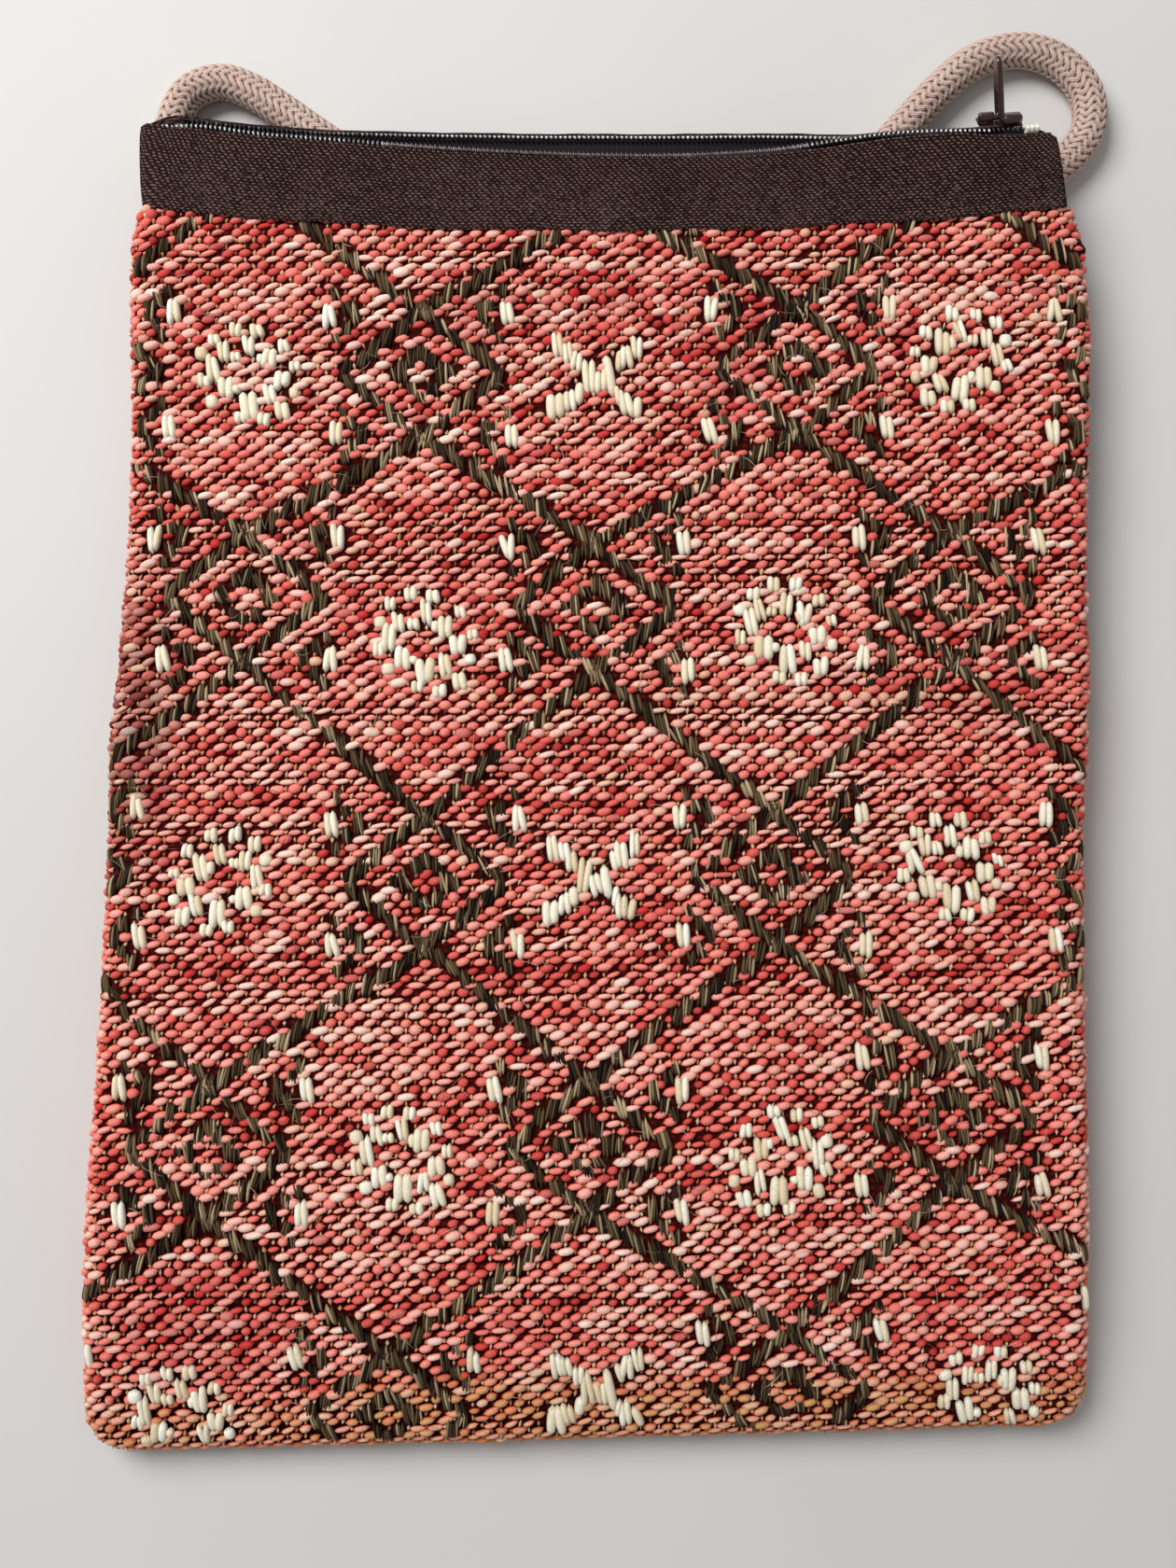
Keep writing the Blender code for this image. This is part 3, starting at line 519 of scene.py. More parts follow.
# %% Sides of the cloth
SIDES = [
    (164, -131.0, 138.0), (159, -132.2, 139.3), (148, -133.9, 141.6), (137, -134.2, 142.4),
    (127, -133.7, 143.2), (94, -132.9, 142.6), (72, -133.4, 141.4), (49, -134.6, 141.3),
    (27, -136.6, 142.3), (5, -139.3, 141.7), (-16, -139.4, 140.5), (-38, -139.8, 140.1),
    (-81, -141.6, 140.0), (-124, -144.1, 140.3), (-150, -145.3, 140.4), (-196, -145.6, 140.8),
]
side_heights, slack_left, slack_right = (np.array(SIDES) * MM)[::-1].T


def cloth_sides(row):
    """The left and the right side of the cloth on a row."""
    return [np.interp(row, side_heights, side) for side in (slack_left, slack_right)]


def cloth_levels(row):
    """Height above the floor of the cloth's top and of its underside on a row."""
    return [np.interp(row, stations, line) for line in (top_line, low_line)]


print("sides in the middle:", [round(side / MM, 1) for side in cloth_sides(0)], "mm")

# %% Weft rows on the cloth
wave_dice = np.random.default_rng(7)
WAVES = wave_dice.uniform((30, 20, 0), (95, 60, 6.28), (7, 3))
RIPPLE_HEIGHT = 0.16 * MM
ROW_POINTS = 90
BEND_POINTS = 14


def ripple(x, y):
    """How far a hand-woven row strays from straight, in metres."""
    total = 0
    for turns_across, turns_down, start in WAVES:
        total = total + np.sin(x * turns_across + y * turns_down + start)
    return total * RIPPLE_HEIGHT


def sheet_line(row, lift):
    """Points across the cloth on one row.

    row is the height of the row at the middle of the bag. lift is 1 on the front
    leaf, -1 on the back leaf, and in between in the fold.
    """
    depth = row - HEM_Y
    left, right = cloth_sides(row)
    if depth < CORNER_ROUND:
        pull = CORNER_ROUND - math.sqrt(CORNER_ROUND ** 2 - (CORNER_ROUND - depth) ** 2)
        left += pull
        right -= pull
    bends = SIDE_ROUND * (1 - np.cos(np.linspace(0, math.pi / 2, BEND_POINTS)))
    level_part = np.linspace(left, right, ROW_POINTS)[8:-8]
    x = np.concatenate([left + bends, level_part, (right - bends)[::-1]])
    x = np.unique(np.clip(x, left, right))
    inward = rise(np.minimum(x - left, right - x), 0, SIDE_ROUND)
    top, low = cloth_levels(row)
    z = (top + low) / 2 + lift * (top - low) / 2 * quarter_round(inward)
    lean = HEM_LEAN * rise(row, 0, HEM_Y)
    return np.column_stack([x, row + lean * x + ripple(x, row) * min(1, depth / CORNER_ROUND), z])


def rows_down(top_y, spacing_top, spacing_hem, back_top_y):
    """(row, lift) of every weft row: down the front, round the fold and up the back."""
    rows = []
    row = top_y
    while row > FOLD_TOP_Y:
        rows.append((row, 1.0))
        share = (top_y - row) / (top_y - FOLD_TOP_Y)
        row -= spacing_top + (spacing_hem - spacing_top) * share
    half = np.interp(FOLD_TOP_Y, stations, top_line - low_line) / 2
    turns_in_fold = round(math.pi * (half + FOLD_DEPTH) / 2 / spacing_hem)
    for step in range(turns_in_fold + 1):
        angle = math.pi * step / turns_in_fold
        reach = FOLD_DEPTH + LOW_BULGE * rise(-1.6 * math.cos(angle), 0, 1)
        rows.append((FOLD_TOP_Y - min(reach * math.sin(angle), FOLD_DEPTH) * 0.998, math.cos(angle)))
    front_rows = len(rows)
    row = FOLD_TOP_Y + spacing_hem
    while row < back_top_y:
        rows.append((row, -1.0))
        row += spacing_hem
    return rows, front_rows


weft_rows, front_rows = rows_down(
    top_y=162 * MM, spacing_top=1.93 * MM, spacing_hem=2.11 * MM, back_top_y=166 * MM)
row_lines = [sheet_line(row, lift) for row, lift in weft_rows]
print(len(weft_rows), "rows, the first", front_rows, "on the front and in the fold")

# %% Places along the rows
def along_row(index, offsets):
    """Points at lengths along a row from the bag's middle, and whether the row reaches them."""
    line = row_lines[index]
    run = run_of(line)
    places = np.interp(0, line[:, 0], run) + offsets
    return rows_at(places, run, line), (places > 0) & (places < run[-1])


def clip_places(places, keep):
    return [part[keep] for part in places]


def yarn_frames(index, offsets):
    """Centre, direction along the row, direction up the cloth and outward normal."""
    centre, inside = along_row(index, offsets)
    ahead = unit(along_row(index, offsets + 0.5 * MM)[0] - along_row(index, offsets - 0.5 * MM)[0])
    above = along_row(max(0, index - 1), offsets)[0]
    below = along_row(min(len(row_lines) - 1, index + 1), offsets)[0]
    outward = unit(np.cross(ahead, above - below))
    return clip_places([centre, ahead, np.cross(outward, ahead), outward], inside)


def band_edge(x, edge_at_middle):
    """Height of the facing band's lower edge, which sags along a wide arc."""
    radius = ZIP_RADIUS + ZIP_Y - edge_at_middle
    return ZIP_RADIUS + ZIP_Y - np.sqrt(radius ** 2 - (x - MOUTH_MIDDLE) ** 2)


slide_joint = [joint for joint in frame["joints"] if joint["name"] == "slider_travel"][0]
MOUTH_MIDDLE = slide_joint["pos_m"][0]
ZIP_RADIUS = 1.300
ZIP_Y = slide_joint["pos_m"][1] - ZIP_RADIUS
band_low, band_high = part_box("mouth_band")
front_coil_low, front_coil_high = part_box("zip_coil_front")
back_coil_low, back_coil_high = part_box("zip_coil_back")
BAND_WIDTH = 23 * MM
FRONT_BAND_EDGE = band_low.y
BACK_BAND_EDGE = back_coil_high.y - BAND_WIDTH
print("zip line at", round(ZIP_Y / MM, 2), "band edge at", round(FRONT_BAND_EDGE / MM, 2))

# %% [markdown]
# ## Ground of the cloth
#
# Between the pink weft yarns the cloth is dark: the eye looks down between them at
# the yarns of the row below, which lie in shade. The solid pouch, pulled in by half
# a yarn, gives that dark ground and the cloth's inner side; its dark colour is
# painted shade.

# %% Ground
GROUND_SINK = 0.55 * MM
LEFT_TUCK = 2.0 * MM
RIGHT_TUCK = 2.9 * MM
MOUTH_DROP = 2.8 * MM


def wool_ground():
    finish = Finish("wool_ground", roughness=0.95, specular=0.1)
    x, y = finish.place()[:2]
    rows = (y * (1 / 0.002)).wave() * (x * (1 / 0.00266)).wave()
    cloud = finish.noise(140, 4)
    # painted shade: the ground is painted far darker than the wool, and lighter along the crests of its
    # rows
    deep = finish.mix(cloud, (26, 3, 2), (60, 9, 6))
    finish.colour(rows, deep, (90, 20, 14))
    finish.bump(rows, 0.3 * MM)
    return finish


bm = bmesh.new()
bm.from_mesh(nodes["kilim_pouch"].data)
bmesh.ops.remove_doubles(bm, verts=bm.verts, dist=0.001 * MM)
bm.normal_update()
for vert in bm.verts:
    vert.co -= vert.normal * GROUND_SINK
    x, y = vert.co.x, vert.co.y
    solid_side = np.interp(y, side_stations, left_line if x < 0 else right_line)
    slack_side = cloth_sides(y)[0 if x < 0 else 1]
    vert.co.x += (slack_side - solid_side) * rise(abs(x), 100 * MM, 30 * MM)
    vert.co.x += LEFT_TUCK * rise(y, 157 * MM, 4 * MM) * rise(-x, 100 * MM, 25 * MM)
    vert.co.x -= RIGHT_TUCK * rise(y, 152 * MM, 23 * MM) * max(0, (x - 105 * MM) / (30 * MM)) ** 2
    vert.co.y -= MOUTH_DROP * rise(y - band_edge(x, ZIP_Y), -6 * MM, 11 * MM)
ground_mesh = mesh_from(bm, "kilim_ground")
ground = put_in_scene("kilim_ground", ground_mesh, "bag", "red_wool", wool_ground(), "kilim_pouch")

# %% [markdown]
# ## Yarns
#
# A yarn that passes over its neighbour shows as a short lens. One lens is shaped
# with operators and then copied thousands of times. Copies as objects would be
# slow, so numpy lays the copies of the one mesh into a single mesh per piece, each
# turned into its own place, with its own colour and a painted shade at its foot.

# %% One lens of yarn
def yarn_lens(columns=4, across=4, roundness=0.5):
    """A half-round bead of unit length, width and height, as points, faces and UV."""
    bm = bmesh.new()
    layer = bm.verts.layers.float_vector.new("place")
    bmesh.ops.create_grid(bm, x_segments=columns, y_segments=across, size=1)
    for vert in bm.verts:
        u, v = vert.co.x, vert.co.y
        vert[layer] = (u, v, 0)
        girth = (1 - u * u) ** roundness
        angle = v * math.pi * 0.5
        height = math.cos(angle) * girth ** 0.8 - (1 - girth) * 0.35
        vert.co = Vector((u / 2, math.sin(angle) * girth / 2, height))
    bmesh.ops.remove_doubles(bm, verts=bm.verts, dist=1e-4)
    bmesh.ops.triangulate(bm, faces=bm.faces)
    bm.verts.index_update()
    points = np.array([vert.co for vert in bm.verts])
    places = np.array([vert[layer][:2] for vert in bm.verts])
    faces = np.array([[vert.index for vert in face.verts] for face in bm.faces])
    bm.free()
    return points, faces, places


weft_lens = yarn_lens()
stitch_lens = yarn_lens(7, 6, 0.3)
thin_lens = yarn_lens(5, 3, 0.34)
print("weft lens:", len(weft_lens[1]), "triangles, stitch lens:", len(stitch_lens[1]))

# %% Lay many lenses into one mesh
def lay_yarns(name, slot, lens, frames, size, tilt, colour, seed, foot_shade=(0.55,) * 3, stands_for=()):
    """Adds one piece that holds a copy of the lens in every frame.

    frames holds each copy's centre and its directions along the row, up the cloth
    and outward, size its length, width and height, tilt its turn on the cloth, and
    colour its linear red, green and blue. foot_shade is how much of each colour is
    lost at the lens's foot as painted shade, where the yarns shade one another and
    light has crossed other yarns.
    """
    points, faces, places = lens
    centre, ahead, upward, outward = frames
    dice = np.random.default_rng(seed)
    count, corners = len(centre), len(points)
    cos, sin = np.cos(tilt)[:, None], np.sin(tilt)[:, None]
    long_way = ahead * cos + upward * sin
    wide_way = upward * cos - ahead * sin
    scaled = points[None, :, :] * size[:, None, :]
    placed = (centre[:, None, :]
              + scaled[:, :, 0, None] * long_way[:, None, :]
              + scaled[:, :, 1, None] * wide_way[:, None, :]
              + scaled[:, :, 2, None] * outward[:, None, :])
    indices = (faces[None, :, :] + (np.arange(count) * corners)[:, None, None]).reshape(-1, 3)
    mesh = bpy.data.meshes.new(name)
    mesh.from_pydata(placed.reshape(-1, 3), [], indices)
    mesh.shade_smooth()
    foot = 1 - np.clip(points[:, 2], 0, 1)
    shades = np.ones((count, corners, 4))
    # painted shade: each lens's colour darkens towards its foot, and the colour attribute carries it
    shades[:, :, :3] = colour[:, None, :] * (1 - foot[:, None] ** 1.8 * np.array(foot_shade))[None, :, :]
    layer = mesh.color_attributes.new("yarn_colour", "FLOAT_COLOR", "POINT")
    layer.data.foreach_set("color", shades.astype(np.float32).ravel())
    yarn_uv = places[None, :, :] * size[:, None, :2] / (2 * MM)
    yarn_uv[:, :, 0] += dice.uniform(0, 50, count)[:, None]
    write_map(mesh, "yarn", yarn_uv.reshape(-1, 2))
    side = math.ceil(math.sqrt(count))
    cell = np.stack([np.arange(count) % side, np.arange(count) // side], axis=1)
    sheet_uv = (cell[:, None, :] + 0.5 + places[None, :, :] * 0.42) / side
    write_map(mesh, "OFBake", sheet_uv.reshape(-1, 2))
    mesh.uv_layers.active = mesh.uv_layers["yarn"]
    put_in_scene(name, mesh, "bag", slot, wool, *stands_for)


def ramp_of(shades):
    """Painted shades as rows of linear red, green and blue."""
    return np.array([paint(*shade)[:3] for shade in shades])


def along_ramp(share, ramp):
    """Colours at places from 0 to 1 along a ramp."""
    return rows_at(np.clip(share, 0, 1) * (len(ramp) - 1), range(len(ramp)), ramp)


def wool_finish():
    """Spun wool: slanting plies, a fuzzy surface and a colour from each yarn.

    The colour carries each lens's painted foot shade, and the plies are painted
    lighter on their crowns and darker between them.
    """
    finish = Finish("spun_wool", roughness=0.85, sheen=0.03, specular=0.14)
    along, across = finish.map_place("yarn")
    plies = (along * 1.6 + across * 1.1).wave()
    fuzz = finish.noise(2400, 4)
    colour = finish.attribute("yarn_colour")
    # painted shade: lighter on the ply crowns and darker between the plies; fuzz adds random tone
    shade = 0.84 + 0.36 * plies + (fuzz - 0.5) * 1.0
    grey = finish.node("ShaderNodeCombineColor", None, {0: shade, 1: shade, 2: shade})
    finish.colour(1.0, colour, grey, "MULTIPLY")
    finish.bump(plies * 0.6 + fuzz * 0.8, 0.12 * MM)
    return finish


wool = wool_finish()

# %% [markdown]
# ## Colours of the weft
#
# The weft is unevenly dyed. Most of it is a dusty rose, but whole stretches of yarn
# are paler or nearly crimson, the left edge is maroon, and the red has faded to tan
# near the hem. Each lens takes its colour from the stretch of yarn that it belongs
# to and from the part of the bag where it lies.

# %% Weft colours
ROSE = [(186, 62, 56), (234, 106, 96), (253, 156, 142), (255, 200, 184), (255, 230, 214)]
# painted shade at the foot of each weft lens: red stays, green and blue fall, as for light that has
# crossed red yarns
WEFT_FOOT_SHADE = (0.36, 0.84, 0.88)
PALE_ROW_Y = 18 * MM
PALE_ROW_ENDS = (-36 * MM, 124 * MM)
CRIMSON = (200, 26, 36)
THIN_YARN = 0.9
MAROON = (112, 44, 40)
TAN = (216, 166, 108)
PALE = (240, 206, 176)
rose_ramp = ramp_of(ROSE)


def clouds(x, y, size, seed):
    """Soft random patches from -1 to 1 on the flat of the cloth."""
    dice = np.random.default_rng(seed)
    total = np.zeros_like(x)
    for _ in range(9):
        angle, start = dice.uniform(0, 2 * math.pi, 2)
        pace = dice.uniform(0.6, 1.6) * 2 * math.pi / size
        total += np.sin((x * math.cos(angle) + y * math.sin(angle)) * pace + start)
    return total / 3


def patch(x, y, middle, reach):
    """1 in the middle of an oval patch, falling to 0 at its rim."""
    away = ((x / MM - middle[0]) / reach[0]) ** 2 + ((y / MM - middle[1]) / reach[1]) ** 2
    return np.clip(1.25 - away, 0, 1)


CRIMSON_PATCHES = [
    ((-34, 130), (22, 13)), ((3, 136), (18, 9)), ((38, 122), (14, 26)), ((79, 22), (15, 8)),
    ((108, 18), (26, 12)), ((-112, -160), (26, 22)), ((128, 146), (9, 12)), ((-30, 62), (12, 7)),
]


def weft_colour(centre, yarn_shift, seed):
    """Linear colour of each lens. yarn_shift is 0 to 1 and is shared along a yarn."""
    dice = np.random.default_rng(seed)
    x, y = centre[:, 0], centre[:, 1]
    tone = 0.52 + 0.34 * (yarn_shift - 0.5) + 0.13 * clouds(x, y * 4, 0.05, seed + 1)
    tone = tone + dice.normal(0, 0.17, len(x)) - 0.05 * clouds(x, y, 0.16, 3)
    colour = along_ramp(tone, rose_ramp)

    def toward(shade, share):
        share = np.clip(share, 0, 1)[:, None]
        return colour * (1 - share) + ramp_of([shade]) * share

    for middle, reach in CRIMSON_PATCHES:
        colour = toward(CRIMSON, 0.62 * patch(x, y, middle, reach) * dice.uniform(0.2, 1.2, len(x)))
    colour = toward(CRIMSON, (dice.random(len(x)) < 0.05) * 0.7)
    colour = toward(MAROON, 0.8 * patch(x, y, (-141, 12), (26, 50)) * dice.uniform(0.4, 1.1, len(x)))
    hem_fade = rise(-y / MM, 168, 12) * rise(x / MM, -78, 10)
    hem_fade = np.maximum(hem_fade, 0.7 * rise(-y / MM, 178, 7))
    colour = toward(TAN, 0.95 * hem_fade * dice.uniform(0.5, 1.1, len(x)))
    colour = toward((255, 196, 178), 0.45 * (yarn_shift > THIN_YARN))
    pale = (dice.random(len(x)) < 0.035) * dice.uniform(0.4, 0.9, len(x))
    return toward(PALE, pale)


print("weft ramp of", len(ROSE), "shades")

# %% [markdown]
# ## Pattern
#
# The pattern is laid in with extra yarns while the cloth is woven. Dark upright
# stitches, three or four strands side by side, step along the lines of a net with
# diamonds at its crossings. Pairs of thick cream stitches make the rosettes, the
# crosses and the eyes beside the diamonds. Each stitch is written down first, so
# that the weft yarns under it can be left out.

# %% Places of the motifs
DIAMONDS = {
    (0, 1): (-49.2, 111.1), (0, 3): (58.3, 112.5),
    (1, 0): (-99.2, 46.7), (1, 2): (0.1, 44.0), (1, 4): (101.6, 46.7),
    (2, 1): (-47.7, -34.0), (2, 3): (50.8, -32.6),
    (3, 0): (-108.1, -109.4), (3, 2): (-1.8, -108.1), (3, 4): (100.0, -100.3),
    (4, 1): (-58.2, -185.0), (4, 3): (54.8, -178.2),
}
CUT_DIAMONDS = {
    (-1, 0): (-99.0, 185.0), (-1, 2): (4.0, 179.0), (-1, 4): (106.0, 185.0),
    (0, -1): (-147.0, 112.0), (0, 5): (157.5, 112.0),
    (2, -1): (-154.0, -31.0), (2, 5): (153.0, -33.0),
    (4, -1): (-170.0, -185.0), (4, 5): (164.4, -169.6),
}
ROSETTES = [
    (-99.6, 111.1), (105.8, 115.2), (-48.8, 33.9), (53.8, 37.4), (-104.7, -34.0),
    (99.9, -30.0), (-54.6, -111.2), (52.9, -111.9), (-117.2, -185.0), (111.2, -179.0),
]
CROSSES = [(0.1, 111.1), (-1.2, -32.1), (0.1, -176.6)]
DIAMOND_HALF = (23.0, 18.5)
RING_STITCHES = [
    (-8.5, 0.0, 4.6, 2.0), (-5.8, 0.6, 7.8, 2.8), (-2.7, 4.6, 6.0, 3.0), (0.3, 6.0, 6.6, 3.0),
    (3.2, 4.4, 6.6, 2.8), (5.9, 0.9, 8.2, 3.3), (8.4, 0.0, 5.6, 2.0), (-3.2, -4.6, 5.0, 2.6),
    (-0.4, -6.3, 4.6, 2.8), (3.0, -4.3, 5.2, 3.0),
]
EYE_WEDGE = [
    (1.4, 6.6, 5.0, 2.2), (4.6, 3.2, 5.4, 2.6), (7.6, 0.2, 8.2, 2.8), (4.9, -3.9, 5.6, 2.5),
    (2.2, -6.9, 5.2, 2.3),
]
EYE_PLACE = (25.6, 17.6)

# %% Stitches of the pattern
STITCH_STEP = 3.9
DARK_STITCH = (6.7, 3.1)
DARK_STRAND = 0.75
EYE_STITCH = (8.2, 3.6)

dark_stitches = []
cream_stitches = []
pattern_dice = np.random.default_rng(21)


def stitch(into, x, y, height, width, strands, lean=0.0):
    """One bundle of upright strands, in mm. lean is its tilt to the right, in degrees."""
    into.append((x, y, height, width, strands, lean))


def stitched_line(start, end):
    """Bundles that step along a slanting line, from one motif to the next."""
    (x1, y1), (x2, y2) = start, end
    count = max(1, round(abs(x2 - x1) / STITCH_STEP))
    lean = 8 if (y2 - y1) * (x2 - x1) > 0 else -17
    for index in range(count + 1):
        share = index / count
        shake = pattern_dice.normal(0, 0.35, 3)
        x = x1 + (x2 - x1) * share + shake[0]
        y = y1 + (y2 - y1) * share + shake[1]
        strands = pattern_dice.choice([3, 4, 4])
        height, width = DARK_STITCH[0] + shake[2] * 2, DARK_STITCH[1] + shake[0]
        stitch(dark_stitches, x, y, height, width, strands, lean + shake[2] * 8)


def between(start, end, share):
    return tuple(a * (1 - share) + b * share for a, b in zip(start, end))


def diamond_outline(middle, half):
    x, y = middle
    corners = [(x, y + half[1]), (x + half[0], y), (x, y - half[1]), (x - half[0], y)]
    for start, end in zip(corners, corners[1:] + corners[:1]):
        stitched_line(between(start, end, 0.07), between(start, end, 0.9))


def dark_motif(x, y, stitches, toward, spread, lean):
    """Copies a measured dark motif, with hand-made differences. toward -1 mirrors it."""
    for across, up, height, width in stitches:
        shake = pattern_dice.normal(0, spread, 3)
        strands = max(2, round(width / DARK_STRAND))
        stitch(dark_stitches, x + toward * across + shake[0], y + up + shake[1], height + shake[2],
               width, strands, lean + pattern_dice.normal(0, 7))


def eye(x, y, toward):
    """A cream stitch with a dark wedge beside it that points to the diamond."""
    stitch(cream_stitches, x, y, *EYE_STITCH, 2, pattern_dice.normal(-6, 4))
    dark_motif(x, y, EYE_WEDGE, toward, 0.4, -6)


net = {**DIAMONDS, **CUT_DIAMONDS}
for x, y in net.values():
    diamond_outline((x, y), DIAMOND_HALF)
    dark_motif(x, y, RING_STITCHES, 1, 0.3, -8)
    for side in (-1, 1):
        for up in (-1, 1):
            shake = pattern_dice.normal(0, 0.8, 2)
            eye(x + side * EYE_PLACE[0] + shake[0], y + up * EYE_PLACE[1] + shake[1], -side)
for (row, column), (x, y) in net.items():
    for side in (-1, 1):
        below = net.get((row + 1, column + side))
        if below:
            stitched_line((x, y - DIAMOND_HALF[1]), (below[0], below[1] + DIAMOND_HALF[1]))
print(len(dark_stitches), "dark bundles,", len(cream_stitches), "eyes")

# %% Rosettes and crosses
ROSETTE = [
    (-3.3, 13.3, 4.7, 3.4, 2), (3.2, 13.3, 4.7, 3.5, 2), (-8.9, 10.7, 4.4, 3.4, 2),
    (0.7, 8.5, 7.4, 3.2, 2), (10.3, 8.5, 4.4, 3.2, 2), (-6.5, 6.2, 7.1, 3.2, 2),
    (-12.2, 6.0, 4.0, 3.2, 1), (-3.0, 5.5, 3.7, 3.0, 2), (6.3, 4.7, 7.7, 4.0, 2),
    (3.6, 4.5, 4.0, 2.0, 1), (-9.6, 1.6, 9.1, 3.4, 2), (13.7, 2.2, 3.7, 3.0, 2),
    (10.1, -1.4, 6.4, 4.4, 2), (-12.2, -2.1, 4.7, 3.2, 2), (-6.0, -4.7, 7.4, 4.4, 2),
    (13.7, -5.1, 3.7, 2.7, 1), (-2.7, -4.9, 2.7, 2.0, 1), (1.2, -8.6, 9.1, 4.7, 2),
    (6.9, -6.1, 7.1, 3.2, 2), (-9.2, -7.9, 4.0, 3.0, 1), (10.8, -10.6, 6.0, 3.9, 2),
    (-1.5, -13.0, 4.0, 3.4, 2), (4.9, -13.7, 4.4, 3.7, 2),
]
CROSS = [
    (-10.4, 7.4, 8.1, 3.1, 2), (-7.6, 5.7, 7.7, 3.0, 2), (-4.9, 3.4, 6.7, 3.0, 2),
    (-2.0, -0.6, 11.3, 3.6, 2), (1.6, -1.8, 8.4, 3.5, 2), (4.6, -1.2, 12.4, 2.4, 1),
    (6.9, 4.1, 7.0, 1.8, 1), (9.0, 5.6, 8.3, 3.7, 2), (12.2, 8.4, 7.5, 2.8, 2),
    (-10.9, -10.2, 8.9, 4.8, 2), (-7.3, -8.0, 7.0, 3.3, 2), (-4.4, -5.9, 6.4, 2.5, 1),
    (6.8, -6.4, 6.0, 1.6, 1), (9.0, -8.2, 9.0, 3.6, 2), (11.9, -9.8, 6.4, 2.1, 1),
]


def cream_motif(middle, stitches, side=1):
    """Copies a measured motif, with small hand-made differences. side -1 mirrors it."""
    x, y = middle
    for across, up, height, width, strands in stitches:
        shake = pattern_dice.normal(0, 1, 4)
        stitch(cream_stitches, x + side * across + shake[0] * 0.3, y + up + shake[1] * 0.35,
               height * (1 + shake[2] * 0.07), width * (1 + shake[3] * 0.05), strands,
               pattern_dice.normal(-5, 5))


for number, middle in enumerate(ROSETTES):
    cream_motif(middle, ROSETTE, -1 if number % 3 == 1 else 1)
for middle in CROSSES:
    cream_motif(middle, CROSS)
print(len(cream_stitches), "cream stitches")

# %% Stitches on the cloth
def row_at(x, y):
    """The row that passes through a place, as its height at the middle of the bag."""
    return y - HEM_LEAN * rise(y, 0, HEM_Y) * x


def on_front(x, y):
    """Points on the front, with their directions across, up and out of the cloth."""
    row = row_at(x, y)
    top, low = cloth_levels(row)
    left, right = cloth_sides(row)
    inward = np.clip(np.minimum(x - left, right - x) / SIDE_ROUND, 0.02, 1)
    fold = np.clip((row - HEM_Y) / FOLD_DEPTH, 0.02, 1)
    z = (top + low) / 2 + (top - low) / 2 * quarter_round(inward) * quarter_round(fold)
    steep = (cloth_levels(row + MM)[0] - cloth_levels(row - MM)[0]) / (2 * MM)
    lean_side = np.where(x < (left + right) / 2, -1, 1) * (1 - inward) * 0.9
    normal = unit(np.column_stack([lean_side, -steep - (1 - fold) * 1.2, np.ones_like(x)]))
    ahead = unit(np.cross([0, 1.0, 0], normal))
    return np.column_stack([x, y, z]), ahead, np.cross(normal, ahead), normal


def inside_cloth(x, y):
    """Whether a stitch fits here: clear of the sides, the rounded corners, the hem and the band."""
    row = row_at(x, y)
    above_corner = np.clip(HEM_Y + CORNER_ROUND - row, 0, CORNER_ROUND)
    inset = CORNER_ROUND - np.sqrt(CORNER_ROUND ** 2 - above_corner ** 2) + 1.5 * MM
    edge = band_edge(x, FRONT_BAND_EDGE)
    left, right = cloth_sides(row)
    across = (x > left + inset) & (x < right - inset)
    return across & (row > HEM_Y + 3.2 * MM) & (y < edge + 1 * MM)


def strands_of(stitches, strand_width, seed):
    """Splits bundles into strands: places, sizes and leans."""
    dice = np.random.default_rng(seed)
    rows = []
    for x, y, height, width, strands, lean in stitches:
        for strand in range(strands):
            offset = (strand - (strands - 1) / 2) * width / strands
            shake = dice.normal(0, 1, 3)
            rows.append((x + offset, y + shake[0] * 0.04 * height, height * (1 + 0.07 * shake[1]),
                         width / strands * strand_width, math.radians(90 - lean - shake[2] * 5.5)))
    rows = np.array(rows)
    x, y = rows[:, 0] * MM, rows[:, 1] * MM
    keep = inside_cloth(x, y)
    return x[keep], y[keep], rows[keep, 2] * MM, rows[keep, 3] * MM, rows[keep, 4]


STITCH_SINK = 0.15 * MM


def lay_stitches(name, stitches, lens, colours, strand_width, lift, seed, slot, stands_for):
    x, y, height, width, tilt = strands_of(stitches, strand_width, seed)
    point, ahead, upward, normal = on_front(x, y)
    dice = np.random.default_rng(seed + 1)
    size = np.column_stack([height, width, np.full(len(x), lift)])
    colour = along_ramp(dice.normal(0.5, 0.28, len(x)), ramp_of(colours))
    frames = point - normal * STITCH_SINK, ahead, upward, normal
    lay_yarns(name, slot, lens, frames, size, tilt, colour, seed, stands_for=stands_for)


# Each dark strand draws a shade at random from near black up to the pale khaki of a lit strand: partly the
# wool's own uneven tone, partly painted highlight and shade.
DARK = [(26, 17, 9), (58, 43, 27), (108, 88, 61), (194, 172, 136)]
CREAM = [(236, 216, 180), (250, 240, 214), (255, 252, 236)]
dark_nodes = ["brocade_lattice", *[name for name in nodes if name.startswith("diamond_ring")]]
cream_nodes = [name for name in nodes if name.startswith(("rosette", "cross"))]
lay_stitches("dark_stitches", dark_stitches, thin_lens, DARK, 1.12, 1.05 * MM, 31, "dark_wool", dark_nodes)
lay_stitches("cream_stitches", cream_stitches, stitch_lens, CREAM, 1.24, 1.5 * MM, 33, "cream_wool",
             cream_nodes)

# %% [markdown]
# ## Weft
#
# The weft is what one sees of the cloth. Each row passes over every second warp, and
# the next row over the warps between, so the lenses stand like bricks. Hand-spun
# yarn is uneven, so every lens differs a little in length, girth, slant and colour,
# and yarns that lie under a stitch of the pattern are left out.

